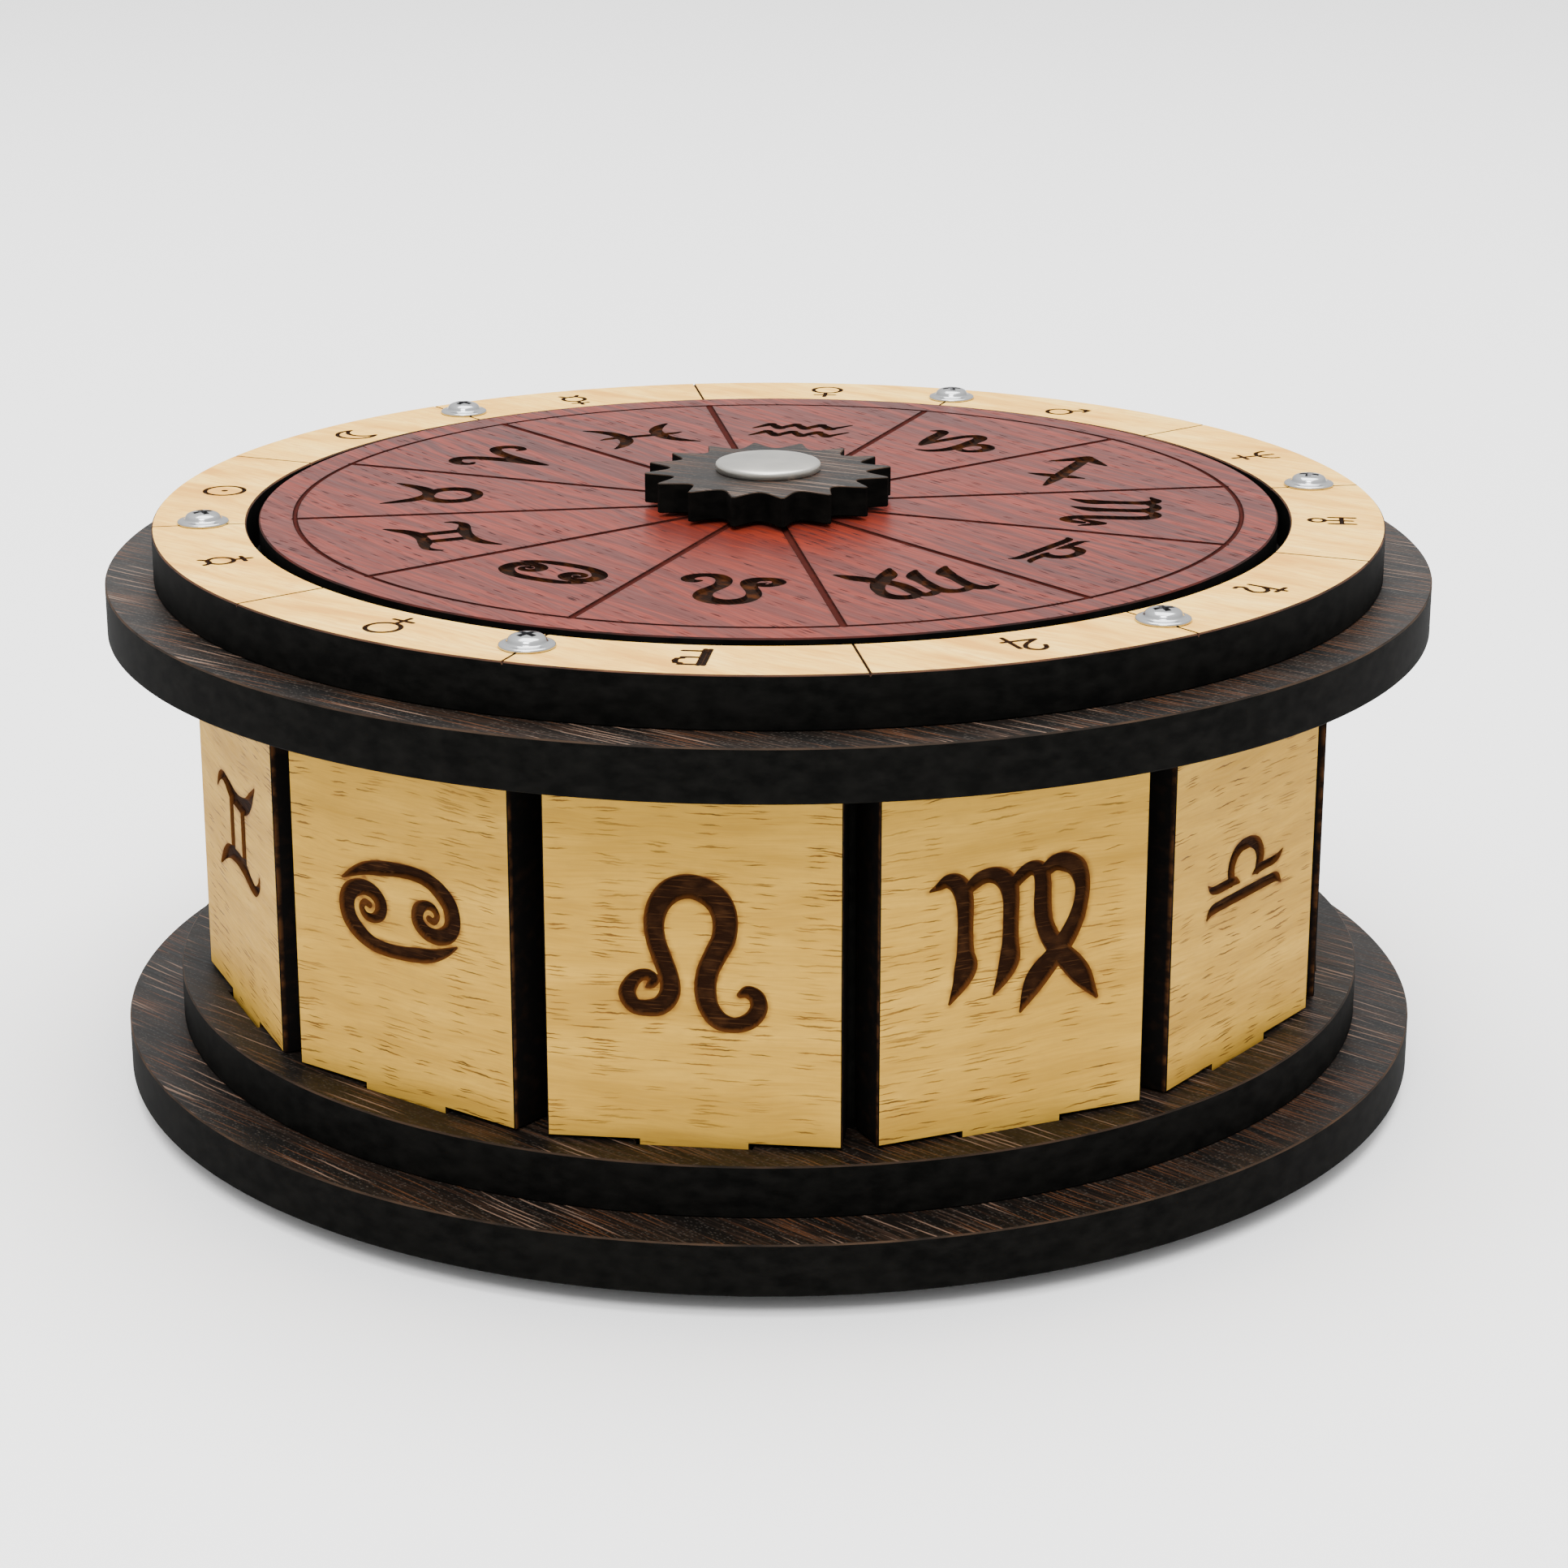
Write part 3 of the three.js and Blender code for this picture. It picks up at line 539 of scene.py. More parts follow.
class Look:
    """A procedural material under construction."""

    def __init__(self, name, **values):
        self.mat = bpy.data.materials.new(name)
        self.mat.use_nodes = True
        self.tree = self.mat.node_tree
        self.shader = self.tree.nodes["Principled BSDF"]
        for key, value in values.items():
            self.set(key.replace("_", " "), value)

    def set(self, socket, value):
        self._feed(self.shader.inputs[socket], value)

    def _feed(self, socket, value):
        if isinstance(value, bpy.types.NodeSocket):
            self.tree.links.new(value, socket)
        else:
            socket.default_value = value

    def node(self, kind, inputs=None, out=0, **props):
        n = self.tree.nodes.new(kind)
        for key, value in props.items():
            setattr(n, key, value)
        for key, value in (inputs or {}).items():
            self._feed(n.inputs[key], value)
        return n.outputs[out]

    def mapped(self, vector, scale, offset=(0, 0, 0)):
        return self.node("ShaderNodeMapping", {"Vector": vector, "Location": offset,
                                               "Scale": scale})

    def uv(self, sx, sy, offset=(0, 0, 0)):
        """Flat coordinates along and across the grain, per centimetre."""
        return self.mapped(self.node("ShaderNodeTexCoord", out="UV"), (sx, sy, 1), offset)

    def solid(self, sx, sy, sz):
        """Solid coordinates, per metre."""
        return self.mapped(self.node("ShaderNodeTexCoord", out="Object"), (sx, sy, sz))

    def noise(self, vector, detail=3.0, rough=.5):
        """Noise at the vector's own scale: the mapping before it sets the size."""
        return self.node("ShaderNodeTexNoise", {
            "Vector": vector, "Scale": 1.0, "Detail": detail, "Roughness": rough},
            out="Fac")

    def ramp(self, value, *stops):
        n = self.tree.nodes.new("ShaderNodeValToRGB")
        self._feed(n.inputs[0], value)
        ramp = n.color_ramp
        while len(ramp.elements) < len(stops):
            ramp.elements.new(.5)
        for element, (position, colour) in zip(ramp.elements, stops):
            element.position = position
            if not isinstance(colour, tuple):
                colour = (colour, colour, colour, 1)
            element.color = colour
        return n.outputs[0]

    def mix(self, factor, a, b, blend="MIX"):
        n = self.tree.nodes.new("ShaderNodeMix")
        n.data_type = "RGBA"
        n.blend_type = blend
        self._feed(n.inputs[0], factor)
        self._feed(n.inputs[6], a)
        self._feed(n.inputs[7], b)
        return n.outputs[2]

    def math(self, operation, a, b=0.0, clamp=False):
        n = self.tree.nodes.new("ShaderNodeMath")
        n.operation = operation
        n.use_clamp = clamp
        self._feed(n.inputs[0], a)
        self._feed(n.inputs[1], b)
        return n.outputs[0]

    def times(self, a, b):
        return self.math("MULTIPLY", a, b)

    def swing(self, value, amount):
        """A noise between 0 and 1 as a swing to both sides of 0."""
        return self.times(self.math("SUBTRACT", value, .5), amount)

    def bump(self, height, strength, distance):
        normal = self.node("ShaderNodeBump", {
            "Height": height, "Strength": strength, "Distance": distance * MM})
        self.set("Normal", normal)


def grain(look, sx, sy, wave=.5, offset=(0, 0, 0), jag=0.0):
    """Grain coordinates per centimetre that wander slowly, and jitter a little."""
    coord = look.node("ShaderNodeTexCoord", out="UV")
    sway = look.swing(look.noise(look.mapped(coord, (.35, 1.1, 1), offset), 2.0), wave)
    if jag:
        quick = look.noise(look.mapped(coord, (11, 16, 1), offset), 2.0)
        sway = look.math("ADD", sway, look.swing(quick, jag))
    shift = look.node("ShaderNodeCombineXYZ", {"Y": sway})
    moved = look.node("ShaderNodeVectorMath", {0: coord, 1: shift}, operation="ADD")
    return look.mapped(moved, (sx, sy, 1), offset)


def dashes(look, vector, keep, size=.36):
    """Short strokes along the grain: pores, 1 inside a stroke and 0 elsewhere."""
    cells = look.tree.nodes.new("ShaderNodeTexVoronoi")
    cells.voronoi_dimensions = "2D"
    look.tree.links.new(vector, cells.inputs["Vector"])
    cells.inputs["Scale"].default_value = 1
    chance = look.node("ShaderNodeSeparateColor", {0: cells.outputs["Color"]}, out=0)
    chosen = look.ramp(chance, (max(0, keep - .02), 1.0), (keep + .1, 0.0))
    stroke = look.ramp(cells.outputs["Distance"], (size * .45, 1.0), (size, 0.0))
    return look.times(stroke, chosen)


def burn_value(look):
    return look.node("ShaderNodeAttribute", out="Fac", attribute_name="burn")


def scorched(look, colour, burnt, strength=.8):
    """Darkens a wood colour in patches where the laser has scorched it."""
    near = look.math("MINIMUM", burn_value(look), 1.0)
    patch = look.noise(look.uv(5, 9), 3.0)
    patch = look.ramp(patch, (.36, .25), (.66, 1))
    amount = look.times(look.math("POWER", near, 1.7), patch)
    return look.mix(look.times(amount, strength), colour, burnt)


def limba():
    look = Look("limba_veneer", Roughness=.55, Specular_IOR_Level=.06)
    broad = look.noise(grain(look, .45, 3.4), 4.0, .55)
    fine = look.noise(grain(look, 2.0, 42), 3.0, .6)
    mottle = look.noise(look.uv(7, 12), 3.0)
    base = look.ramp(broad, (.3, (.37, .205, .026, 1)), (.5, (.46, .262, .034, 1)),
                     (.72, (.55, .325, .046, 1)))
    base = look.mix(look.ramp(fine, (.4, 0), (.78, .45)), base, (.31, .155, .018, 1))
    base = look.mix(look.ramp(mottle, (.5, 0), (.8, .35)), base, (.33, .19, .035, 1))
    region = look.ramp(look.noise(grain(look, .4, 1.0, offset=(3, 7, 0)), 2.0),
                       (.34, .35), (.56, 1))
    long = dashes(look, grain(look, 1.0, 27, .35, (1, 2, 0), .025), .30, .25)
    short = dashes(look, grain(look, 2.2, 34, .35, (6, 4, 0), .025), .24, .27)
    pores = look.times(look.math("MAXIMUM", long, short), region)
    deep = look.noise(look.uv(6, 30), 2.0)
    dark = look.mix(look.ramp(deep, (.42, 0), (.62, 1)), (.14, .055, .010, 1),
                    (.045, .017, .005, 1))
    base = look.mix(look.times(pores, .9), base, dark)
    look.set("Base Color", scorched(look, base, (.11, .033, .007, 1), .9))
    look.set("Roughness", look.ramp(fine, (.3, .5), (.8, .66)))
    look.bump(look.math("SUBTRACT", look.times(fine, .3), pores), .3, .06)
    return look.mat


def maple():
    look = Look("maple_veneer", Roughness=.6, Specular_IOR_Level=.06)
    broad = look.noise(grain(look, .5, 2.6, .6), 4.0, .55)
    fine = look.noise(grain(look, 2.2, 24, .6), 3.0, .6)
    fleck = dashes(look, grain(look, 4, 22, .5, (2, 5, 0), .02), .25, .3)
    base = look.ramp(broad, (.34, (.66, .33, .055, 1)), (.5, (.86, .51, .10, 1)),
                     (.68, (.95, .63, .17, 1)))
    base = look.mix(look.ramp(fine, (.42, 0), (.68, .6)), base, (.66, .30, .05, 1))
    base = look.mix(look.times(fleck, .35), base, (.55, .25, .06, 1))
    look.set("Base Color", scorched(look, base, (.10, .045, .020, 1), .7))
    look.bump(fine, .12, .05)
    return look.mat


def padauk():
    look = Look("padauk_veneer", Roughness=.37, Specular_IOR_Level=.10)
    broad = look.noise(grain(look, .16, 5.0, .5), 4.0, .62)
    tone = look.noise(grain(look, .25, 9, .5, (4, 1, 0)), 3.0, .55)
    wide = look.noise(look.uv(.16, .16, offset=(2.3, 5.1, 0)), 2.0)
    fine = look.noise(grain(look, 1.6, 34), 3.0, .6)
    base = look.ramp(broad, (.38, (.046, .011, .010, 1)), (.46, (.100, .014, .009, 1)),
                     (.54, (.165, .018, .008, 1)), (.66, (.085, .013, .009, 1)))
    base = look.mix(look.ramp(tone, (.48, 0), (.56, .8)), base, (.038, .0125, .0125, 1))
    base = look.mix(look.ramp(wide, (.35, .0), (.65, .4)), base, (.170, .019, .008, 1))
    base = look.mix(look.ramp(fine, (.42, 0), (.75, .5)), base, (.040, .006, .005, 1))
    region = look.ramp(look.noise(look.uv(.8, 1.4), 2.0), (.35, .3), (.6, 1))
    pores = dashes(look, grain(look, 3.2, 26, .3, (5, 2, 0), .02), .15, .34)
    pores = look.times(pores, region)
    base = look.mix(look.times(pores, .95), base, (.010, .0012, .0012, 1))
    look.set("Base Color", scorched(look, base, (.022, .006, .003, 1), .8))
    rough = look.ramp(fine, (.3, .32), (.8, .48))
    look.set("Roughness", look.mix(pores, rough, (.7, .7, .7, 1)))
    look.bump(look.math("SUBTRACT", look.times(fine, .25), pores), .35, .08)
    return look.mat


def ebony(name="ebony_veneer", warmth=1.0):
    look = Look(name, Roughness=.5, Specular_IOR_Level=.16)
    lines = look.noise(grain(look, .3, 30, .25), 5.0, .72)
    bands = look.noise(grain(look, .2, 3.2, .25, (9, 4, 0)), 3.0, .6)
    threads = dashes(look, grain(look, .42, 18, .25, (4, 4, 0), .012), .36, .21)
    veins = dashes(look, grain(look, .7, 28, .25, (7, 1, 0), .012), .42, .28)
    speck = dashes(look, grain(look, 22, 50, .25, (1, 7, 0)), .22, .4)
    streak = look.times(look.ramp(lines, (.5, 0), (.6, 1)),
                       look.ramp(bands, (.42, .05), (.56, 1)))
    hue = look.noise(grain(look, .4, 6, .25, (2, 8, 0)), 3.0)
    brown = look.ramp(hue, (.40, (.050 * warmth, .019 * warmth, .008, 1)),
                      (.60, (.085, .050, .034, 1)))
    ground = look.ramp(bands, (.35, (.0026, .0022, .0019, 1)),
                       (.7, (.0075 * warmth, .005, .0034, 1)))
    base = look.mix(look.times(streak, .4), ground, brown)
    base = look.mix(look.times(veins, .8), base, (.080 * warmth, .030, .012, 1))
    base = look.mix(look.times(threads, .9), base, (.16, .098, .068, 1))
    base = look.mix(look.times(speck, .3), base, (.10, .085, .07, 1))
    look.set("Base Color", base)
    look.set("Roughness", look.ramp(lines, (.4, .46), (.7, .62)))
    look.bump(lines, .2, .06)
    return look.mat


def board():
    look = Look("black_board", Roughness=.75, Specular_IOR_Level=.028)
    mottle = look.noise(look.solid(500, 500, 900), 4.0)
    wide = look.noise(look.solid(160, 160, 40), 3.0)
    base = look.ramp(mottle, (.35, (.0014, .0014, .0012, 1)), (.7, (.0042, .004, .0035, 1)))
    base = look.mix(look.ramp(wide, (.5, 0), (.75, .35)), base, (.0048, .0045, .0038, 1))
    look.set("Base Color", base)
    look.bump(mottle, .2, .06)
    return look.mat


def edge_line(name, dark, light):
    look = Look(name, Roughness=.7, Specular_IOR_Level=.1)
    patch = look.noise(look.solid(180, 180, 180), 3.0)
    look.set("Base Color", look.ramp(patch, (.35, dark), (.7, light)))
    return look.mat


def panel_side():
    """Laser-cut edge: charred black, brown and flecked just behind the veneer."""
    look = Look("panel_side", Roughness=.8, Specular_IOR_Level=.06)
    speck = look.noise(look.solid(700, 700, 900), 3.0)
    base = look.ramp(speck, (.5, (.0018, .0014, .0012, 1)), (.75, (.007, .0035, .0018, 1)))
    rim = look.ramp(burn_value(look), (.9, 0), (.98, 1))
    fleck = look.ramp(speck, (.42, .15), (.62, 1))
    base = look.mix(look.times(rim, fleck), base, (.06, .023, .007, 1))
    look.set("Base Color", base)
    look.bump(speck, .3, .08)
    return look.mat


def burnt(name, edge, floor, patch_colour, amount, streak=.6):
    """Engraved groove: browner on its sloping sides, charred along the bottom."""
    look = Look(name, Roughness=.8, Specular_IOR_Level=.03)
    deep = look.math("SUBTRACT", burn_value(look), 1.0, True)
    passes = look.noise(look.uv(3, 55), 3.0)
    patch = look.noise(look.uv(4, 6), 3.0)
    blur = look.swing(passes, .9)
    base = look.mix(look.ramp(look.math("ADD", deep, blur), (.2, 0), (.9, 1)),
                    edge, floor)
    base = look.mix(look.times(look.ramp(patch, (.5, 0), (.68, 1)), amount),
                    base, patch_colour)
    base = look.mix(look.ramp(passes, (.56, 0), (.68, streak)), base, patch_colour)
    look.set("Base Color", base)
    look.bump(passes, .5, .12)
    return look.mat


def birch():
    look = Look("birch_ply", Roughness=.62, Specular_IOR_Level=.2)
    layers = look.node("ShaderNodeTexWave", {
        "Vector": look.solid(0, 0, 1), "Scale": 220.0, "Distortion": .6,
        "Detail": 2.0}, bands_direction="Z")
    wood = look.noise(look.solid(40, 900, 1), 4.0)
    face = look.ramp(wood, (.35, (.46, .28, .11, 1)), (.7, (.64, .43, .20, 1)))
    side = look.ramp(layers, (.3, (.16, .075, .028, 1)), (.6, (.46, .28, .11, 1)))
    up = look.node("ShaderNodeSeparateXYZ", {
        0: look.node("ShaderNodeNewGeometry", out="True Normal")}, out=2)
    flat = look.ramp(look.math("ABSOLUTE", up), (.5, 0), (.6, 1))
    look.set("Base Color", look.mix(flat, side, face))
    look.bump(wood, .15, .06)
    return look.mat


def felt():
    look = Look("felt", Roughness=1.0, Specular_IOR_Level=.05, Sheen_Weight=.3)
    fibre = look.noise(look.solid(1800, 1800, 1800), 5.0, .7)
    look.set("Base Color", look.ramp(fibre, (.35, (.010, .010, .013, 1)),
                                     (.7, (.040, .038, .046, 1))))
    look.bump(fibre, .7, .25)
    return look.mat


def metal(name, colour, rough, swing=.1, scale=500):
    look = Look(name, Metallic=1.0, Roughness=rough)
    haze = look.noise(look.solid(scale, scale, scale), 4.0)
    tone = tuple(c * .82 for c in colour[:3]) + (1.0,)
    look.set("Base Color", look.mix(haze, tone, colour))
    look.set("Roughness", look.ramp(haze, (.3, rough), (.75, rough + swing)))
    return look.mat


def nylon():
    look = Look("nylon", Roughness=.45, Specular_IOR_Level=.4)
    cloud = look.noise(look.solid(120, 120, 120), 2.0)
    look.set("Base Color", look.ramp(cloud, (.3, (.50, .48, .40, 1)),
                                     (.7, (.62, .60, .52, 1))))
    return look.mat


LIMBA, MAPLE, PADAUK, EBONY = limba(), maple(), padauk(), ebony()
EBONY_WARM = ebony("ebony_veneer_warm", .9)
BOARD, PANEL_SIDE = board(), panel_side()
EDGE = edge_line("veneer_edge", (.008, .005, .003, 1), (.040, .022, .012, 1))
MAPLE_EDGE = edge_line("maple_edge", (.018, .008, .005, 1), (.075, .032, .016, 1))
PADAUK_EDGE = edge_line("padauk_edge", (.008, .002, .0015, 1), (.05, .008, .005, 1))
CHAR = burnt("burnt_limba", (.085, .028, .006, 1), (.0115, .0042, .0016, 1),
             (.060, .024, .008, 1), .3)
CHAR_DIAL = burnt("burnt_padauk", (.006, .0022, .0015, 1), (.0075, .003, .0016, 1),
                  (.050, .014, .003, 1), .8, .4)
LINE_DIAL = burnt("scored_padauk", (.010, .0018, .0014, 1), (.034, .0056, .0038, 1),
                  (.050, .008, .005, 1), .5, .4)
CHAR_RING = burnt("burnt_maple", (.040, .017, .007, 1), (.008, .004, .0025, 1),
                  (.035, .016, .008, 1), .3)
BIRCH, FELT, NYLON = birch(), felt(), nylon()
ZINC = metal("zinc", (.44, .445, .45, 1), .12, .1)
# A darker copy of the zinc for the screws' cross recess: painted shade, not a different
# finish.
PAINTED_SHADE_ZINC = metal("zinc_recess_painted_shade", (.10, .10, .105, 1), .35)
NICKEL = metal("nickel", (.50, .485, .44, 1), .3, .12, 300)
BRASS = metal("brass", (.60, .37, .11, 1), .25)

# ---- box: foot, base disc, base ring and panels ---------------------------------------

BEVEL = .14


def disc_piece(name, node, loops, mats, body, slot, grain, bevel=BEVEL, **engraving):
    low, high = cad(node)
    rims = [grown(loop, -bevel if i == 0 else bevel) for i, loop in enumerate(loops)]
    verts, faces, kinds, burns = slab(rims, high.z - low.z, bevel, **engraving)
    return build(name, verts, faces, mats, body, node, kinds, burns,
                 Matrix.Translation((0, 0, high.z)), math.radians(grain), sharp=25)


def grown(loop, amount):
    """Outline moved outwards by amount along its corner directions."""
    p = np.array(loop, float)
    before, after = p - np.roll(p, 1, axis=0), np.roll(p, -1, axis=0) - p
    area = float((p[:, 0] * np.roll(p[:, 1], -1) - np.roll(p[:, 0], -1) * p[:, 1]).sum())
    turn = 1 if area > 0 else -1
    n = []
    for d in (before, after):
        d = d / np.hypot(d[:, 0], d[:, 1])[:, None]
        n.append(np.stack([d[:, 1], -d[:, 0]], 1) * turn)
    out = (n[0] + n[1]) / np.maximum(.4, 1 + (n[0] * n[1]).sum(axis=1))[:, None]
    return p + out * amount


def slot_outline(k, width, depth, middle):
    c, s = math.cos(k * PITCH), math.sin(k * PITCH)
    corners = [(-width / 2, -middle - depth / 2), (width / 2, -middle - depth / 2),
               (width / 2, -middle + depth / 2), (-width / 2, -middle + depth / 2)]
    return [(x * c - y * s, x * s + y * c) for x, y in corners]


disc_mats = [EBONY, BOARD, CHAR, BOARD, EDGE]
foot_r = cad("foot_disc")[1].x
disc_piece("foot", "foot_disc", [circle(foot_r)], [BOARD], "base", "black_board", 0)
disc_piece("base_plate", "base_disc", [circle(DISC_R, 320)], disc_mats, "base",
           "ebony_veneer", -38)
ring_r = cad("base_ring")[1].x
COLLAR_BORE, TAB_HALF, TAB_PLAY = 46, 5, .3
PANEL_FACE, PANEL_THICK = 56.0, 5.0
slots = [slot_outline(k, 2 * (TAB_HALF + TAB_PLAY), PANEL_THICK + 2 * TAB_PLAY,
                      PANEL_FACE - PANEL_THICK / 2) for k in range(SECTORS)]
disc_piece("base_collar", "base_ring",
           [circle(ring_r, 300), circle(COLLAR_BORE, 160)] + slots,
           [EBONY_WARM, BOARD, CHAR, BOARD, EDGE], "base", "ebony_veneer", -35)

panel_low, panel_high = cad("panel_leo")
PANEL_HALF = panel_high.x
SHOULDER = cad("base_ring")[1].z + .3
GLYPH_Z = 30.0
PANEL_BEVEL = .1
panel_outline = [(-TAB_HALF, panel_low.z), (TAB_HALF, panel_low.z), (TAB_HALF, SHOULDER),
                 (PANEL_HALF, SHOULDER), (PANEL_HALF, panel_high.z),
                 (-PANEL_HALF, panel_high.z), (-PANEL_HALF, SHOULDER),
                 (-TAB_HALF, SHOULDER)]
for k, sign in enumerate(SIGNS):
    field = Field(-11, GLYPH_Z - 10, 11, GLYPH_Z + 10, .1)
    for stroke in SIGN_STROKES[sign]:
        field.add(stroke, lambda p: p + (0, GLYPH_Z, 0))
    verts, faces, kinds, burns = slab([grown(panel_outline, -PANEL_BEVEL)], PANEL_THICK,
                                      PANEL_BEVEL, field, .45, .6, .34)
    theta = k * PITCH
    right = Vector((math.cos(theta), math.sin(theta), 0))
    normal = Vector((math.sin(theta), -math.cos(theta), 0))
    place = Matrix.Identity(4)
    for col, axis in enumerate((right, Vector((0, 0, 1)), normal)):
        place[0][col], place[1][col], place[2][col] = axis
    place.translation = normal * PANEL_FACE
    build("sign_" + sign, verts, faces, [LIMBA, PANEL_SIDE, CHAR, PANEL_SIDE, PANEL_SIDE],
          "base", "panel_" + sign, kinds, burns, place,
          math.radians((-1.5, 1.0, -2.0, 1.8)[k % 4]), 11.3 * k)

# ---- lid: dark disc, planet ring, dial ------------------------------------------------

# The drive tube's flange sits in a counterbore round the bore.
TUBE_BORE, SEAT_MIDDLE, SEAT_WIDTH, SEAT_DEPTH = 7.3, 10.3, 7.4, 2.0
flange_seat = Field(-16, -16, 16, 16, .2)
flange_seat.ring(SEAT_MIDDLE, SEAT_WIDTH)
disc_piece("lid_plate", "lid_disc", [circle(DISC_R, 320), circle(TUBE_BORE, 96)],
           [EBONY, BOARD, BOARD, BOARD, EDGE], "ring", "ebony_veneer", -30,
           field=flange_seat, depth=SEAT_DEPTH, halo=.05, slope=.08)


def sector_frame(k, radius, scale, shift=0.0, flip=1):
    """Moves a mark to its sector, its top pointing outwards."""
    theta = k * PITCH
    right = np.array((-math.cos(theta), -math.sin(theta)))
    out = np.array((math.sin(theta), -math.cos(theta)))

    def place(p):
        q = p * scale
        xy = right * (q[:, :1] * flip + shift) + out * (q[:, 1:2] + radius)
        return np.hstack([xy, q[:, 2:]])
    return place


DIVIDERS = [(k + .5) * PITCH for k in range(SECTORS)]
BOLDER = .08          # how much an engraving spreads beyond its stroke
planet_field = Field(-62, -62, 62, 62, .1)
for k, planet in enumerate(PLANETS):
    for stroke in PLANET_STROKES[planet]:
        planet_field.add(stroke, sector_frame(k, 56, 1.0, (0, 0, -.3)[k % 3]))
planet_field.grid -= BOLDER
for angle in DIVIDERS:
    (ax, ay), (bx, by) = polar(50.5, angle), polar(62.2, angle)
    planet_field.add([(ax, ay, .24), (bx, by, .24)])
planet_r = cad("planet_ring")[1].x
PLANET_BORE, SCREW_CIRCLE, SCREW_HOLE = 52, 56.2, 1.5
SCREW_DEGREES = (-15, 45.6, 105.7, 165, 224.3, 284.2)
screw_spots = [polar(SCREW_CIRCLE, math.radians(a)) for a in SCREW_DEGREES]
screw_holes = [circle(SCREW_HOLE, 20, x, y) for x, y in screw_spots]
disc_piece("planet_band", "planet_ring",
           [circle(planet_r, 300), circle(PLANET_BORE, 260)] + screw_holes,
           [MAPLE, BOARD, CHAR_RING, BOARD, MAPLE_EDGE], "ring", "maple_veneer", -32,
           field=planet_field, depth=.2, halo=.15, slope=.1)

dial_field = Field(-51, -51, 51, 51, .1)
line_field = Field(-51, -51, 51, 51, .1)
for k, sign in enumerate(SIGNS):
    place = sector_frame(k, 33.9, .73, -.5, -1 if sign == "sagittarius" else 1)
    for stroke in SIGN_STROKES[sign]:
        dial_field.add(stroke, place)
dial_field.grid -= BOLDER
DIAL_RING = 47.2
line_field.ring(DIAL_RING, .5)
for angle in DIVIDERS:
    (ax, ay), (bx, by) = polar(9.0, angle), polar(DIAL_RING, angle)
    line_field.add([(ax, ay, .75), (bx, by, .75)])
np.minimum(dial_field.grid, line_field.grid, out=dial_field.grid)
disc_piece("dial_face", "sign_dial",
           [circle(cad("sign_dial")[1].x, 300), circle(SLEEVE_BORE, 64)],
           [PADAUK, BOARD, CHAR_DIAL, BOARD, PADAUK_EDGE, LINE_DIAL], "dial",
           "padauk_veneer", -46, field=dial_field, depth=.4, halo=.35, slope=.16,
           lines=line_field)

# ---- knob, centre head and screws -----------------------------------------------------


def knob_outline(teeth=16, steps=14, tip=12.7, tooth_depth=2.8, turned=13.4):
    """Pointed teeth with a round hollow between each pair."""
    points = []
    for tooth in range(teeth):
        for i in range(steps):
            t = (i + .5) / steps
            angle = math.radians(turned) + (tooth + t) * math.tau / teeth
            points.append(polar(tip - tooth_depth * math.sin(math.pi * t), angle))
    return points


disc_piece("knob", "gear_knob", [knob_outline(), circle(SLEEVE_BORE, 48)],
           [EBONY, BOARD, CHAR, BOARD, EDGE], "dial", "ebony_veneer", -20, bevel=.08)

sleeve_low, sleeve_high = cad("centre_sleeve")
top = sleeve_high.z
head = [(0, 57), (2.58, 57), (2.58, sleeve_low.z), (4, sleeve_low.z), (4, top - 1.2),
        (5.1, top - 1.2), (5.2, top - 1.16), (5.25, top - 1.05), (5.25, top - .62),
        (5.22, top - .5), (5.12, top - .4), (4.9, top - .32), (4.3, top - .2),
        (3.3, top - .1), (2.0, top - .03), (0, top)]
verts, faces = lathe(head, 96)
build("centre_head", verts, faces, [NICKEL], "dial", "centre_sleeve", sharp=35)


def cut(body_verts, body_faces, tool_sets):
    """Body with each tool taken away, as plain lists."""
    objects = []
    for verts, faces in [(body_verts, body_faces)] + tool_sets:
        mesh = bpy.data.meshes.new("cutting")
        mesh.from_pydata(verts, [], faces)
        objects.append(add_object("cutting", mesh))
    body = objects[0]
    for tool in objects[1:]:
        mod = body.modifiers.new("cut", "BOOLEAN")
        mod.object, mod.operation, mod.solver = tool, "DIFFERENCE", "EXACT"
    done = body.evaluated_get(bpy.context.evaluated_depsgraph_get()).to_mesh()
    out = [tuple(v.co) for v in done.vertices], [tuple(p.vertices) for p in done.polygons]
    for o in objects:
        bpy.data.objects.remove(o)
    return out


def cross_arm(length, half_top, half_low, top_z, low_z):
    """One arm of the driver's cross, narrower towards the bottom."""
    verts = []
    for z, h, l in ((low_z, half_low, length * .45), (top_z, half_top, length)):
        verts += [(-l, -h, z), (l, -h, z), (l, h, z), (-l, h, z)]
    faces = [(3, 2, 1, 0), (4, 5, 6, 7), (0, 1, 5, 4), (1, 2, 6, 5), (2, 3, 7, 6),
             (3, 0, 4, 7)]
    return verts, faces


screw_profile = [(0, -8), (.5, -7.6), (1.2, -6.6), (1.2, 0), (2.4, 0), (2.52, .05),
                 (2.55, .14), (2.53, .24), (2.45, .32), (2.3, .36), (2.1, .38),
                 (1.95, .41), (1.84, .47), (1.78, .56), (1.74, .68), (1.66, .82),
                 (1.52, .95), (1.32, 1.05), (1.05, 1.12), (.75, 1.16), (.4, 1.18),
                 (0, 1.19)]
screw_verts, screw_faces = lathe(screw_profile, 64)
arm = cross_arm(1.2, .34, .2, 1.5, .3)
arm_b = ([(-y, x, z) for x, y, z in arm[0]], arm[1])
screw_verts, screw_faces = cut(screw_verts, screw_faces, [arm, arm_b])
dome_r, dome_z = zip(*screw_profile[:3:-1])
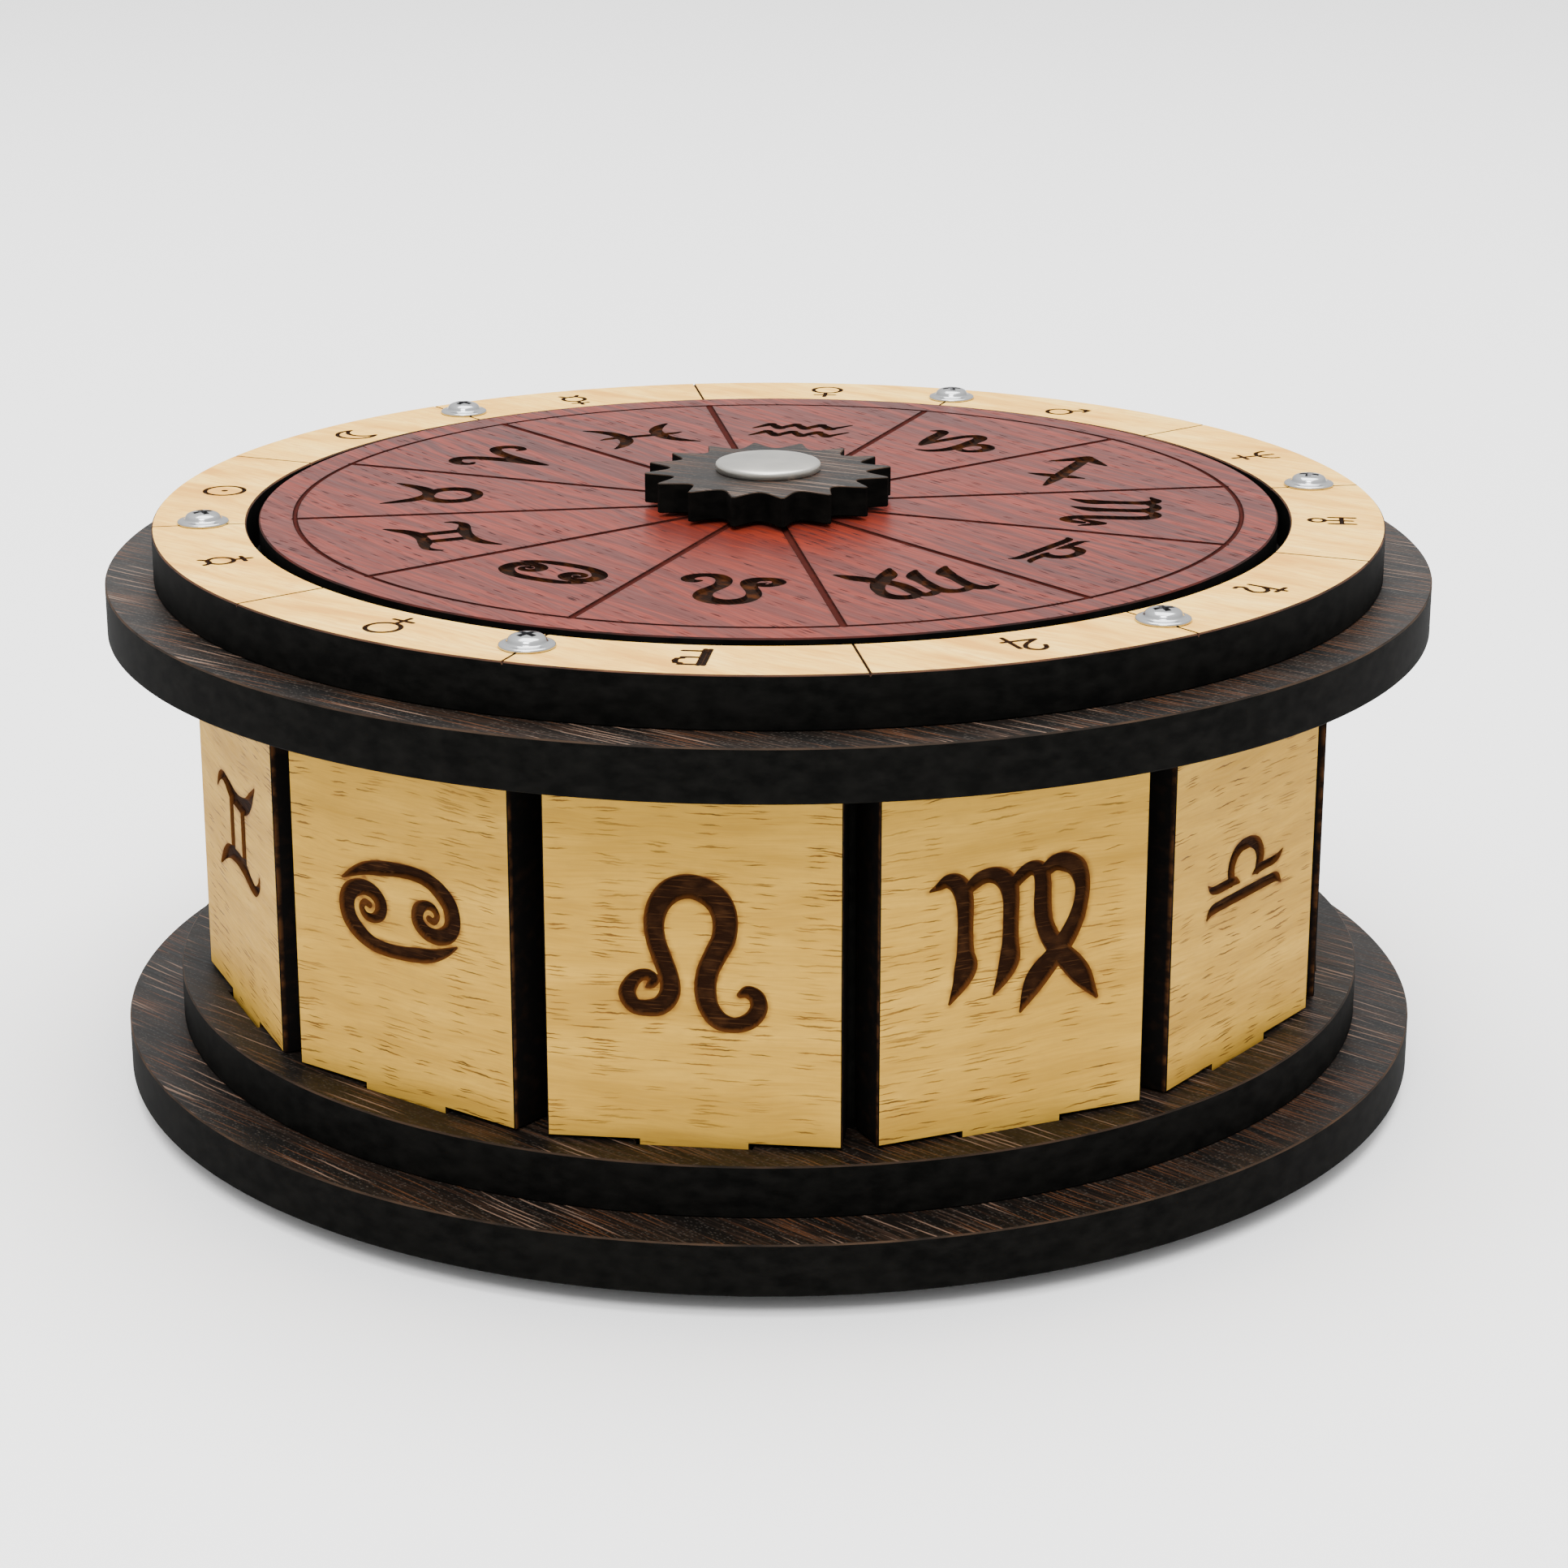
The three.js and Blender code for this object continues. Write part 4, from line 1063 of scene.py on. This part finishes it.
# Faces sunk below the dome get a darker zinc: painted shade in the cross recess.
screw_kinds = []
for face in screw_faces:
    x, y, z = np.mean([screw_verts[i] for i in face], axis=0)
    under_dome = z < np.interp(math.hypot(x, y), dome_r, dome_z) - .04
    screw_kinds.append(int(under_dome and z > .4 and math.hypot(x, y) < 1.3))
SCREW_TURNS = (52, 27, 80, 15, 63, 40)
HEAD_HEIGHT = 1.35
for i, ((x, y), turn) in enumerate(zip(screw_spots, SCREW_TURNS)):
    high = cad(f"ring_screw_{i + 1}")[1]
    place = (Matrix.Translation((x, y, high.z - HEAD_HEIGHT))
             @ Matrix.Rotation(math.radians(turn), 4, "Z"))
    build(f"flange_screw_{i + 1}", screw_verts, screw_faces, [ZINC, PAINTED_SHADE_ZINC], "ring",
          f"ring_screw_{i + 1}", screw_kinds, place=place, sharp=38)

# ---- inner parts keep their CAD shape -------------------------------------------------

KEPT = [
    (BOARD, ["inner_wall"]),
    (BIRCH, ["ledge_ring", "keeper_plate", "plug_plate", "code_disc_a", "code_disc_b",
             "code_disc_c", "code_disc_d"]),
    (FELT, ["compartment_lining"]),
    (BRASS, ["drive_tube", "pick_up_pin_b", "pick_up_pin_c_top", "pick_up_pin_c_bottom",
             "pick_up_pin_d"]),
    (NYLON, ["lid_glide_ring", "dial_glide_ring", "knob_washer", "end_washer",
             "spacer_c", "spacer_d"]),
    (NICKEL, ["centre_screw"]),
]
for finish, names in KEPT:
    for name in names:
        obj = nodes[name]
        obj.data.materials.clear()
        obj.data.materials.append(finish)
        soft = obj.modifiers.new("soft_edges", "BEVEL")
        soft.width = .12 * MM
        soft.segments = 2
        soft.limit_method = "ANGLE"
        soft.angle_limit = math.radians(50)

# ---- stage, camera, light -------------------------------------------------------------

floor_look = Look("floor", Roughness=.7, Specular_IOR_Level=.1)
floor_look.set("Base Color", (.95, .95, .95, 1))
floor_mesh = bpy.data.meshes.new("floor")
floor_mesh.from_pydata([(-6, -6, 0), (6, -6, 0), (6, 6, 0), (-6, 6, 0)], [],
                       [(0, 1, 2, 3)])
floor_mesh.materials.append(floor_look.mat)
floor = add_object("floor", floor_mesh)

# A white tent, dimmer towards the horizon than overhead.
world = bpy.data.worlds.new("studio")
world.use_nodes = True
tree = world.node_tree
sky = tree.nodes.new("ShaderNodeTexCoord")
split = tree.nodes.new("ShaderNodeSeparateXYZ")
rise = tree.nodes.new("ShaderNodeMapRange")
rise.inputs["From Min"].default_value, rise.inputs["From Max"].default_value = 0, 1
rise.inputs["To Min"].default_value, rise.inputs["To Max"].default_value = .95, 2.1
tree.links.new(sky.outputs["Generated"], split.inputs[0])
tree.links.new(split.outputs["Z"], rise.inputs["Value"])
tree.links.new(rise.outputs["Result"], tree.nodes["Background"].inputs["Strength"])
tree.nodes["Background"].inputs["Color"].default_value = (1, 1, 1, 1)
bpy.context.scene.world = world


def softbox(name, place, aim, size, power):
    light = bpy.data.lights.new(name, "AREA")
    light.shape = "RECTANGLE"
    light.size, light.size_y = size
    light.energy = power
    obj = add_object(name, light)
    obj.location = place
    obj.rotation_euler = (Vector(aim) - Vector(place)).to_track_quat("-Z", "Y").to_euler()


softbox("key", (.02, -.75, .95), (0, 0, .04), (.5, .4), 10)
softbox("top", (.05, .15, 1.2), (0, 0, .04), (1.1, 1.1), 26)

camera = bpy.data.cameras.new("camera")
camera.lens = 83.115
camera.sensor_width = 36
camera.shift_x, camera.shift_y = .014327, -.003368
camera.clip_start = .01
eye = add_object("camera", camera)
look_from = Vector((42.501, -352.242, 142.714)) * MM
right = Vector((.99261937, .12126019, -.00165722))
upward = Vector((-.03554985, .30401692, .95200311))
back = right.cross(upward)
eye.matrix_world = Matrix((
    (right.x, upward.x, back.x, look_from.x),
    (right.y, upward.y, back.y, look_from.y),
    (right.z, upward.z, back.z, look_from.z),
    (0, 0, 0, 1)))
bpy.context.scene.camera = eye
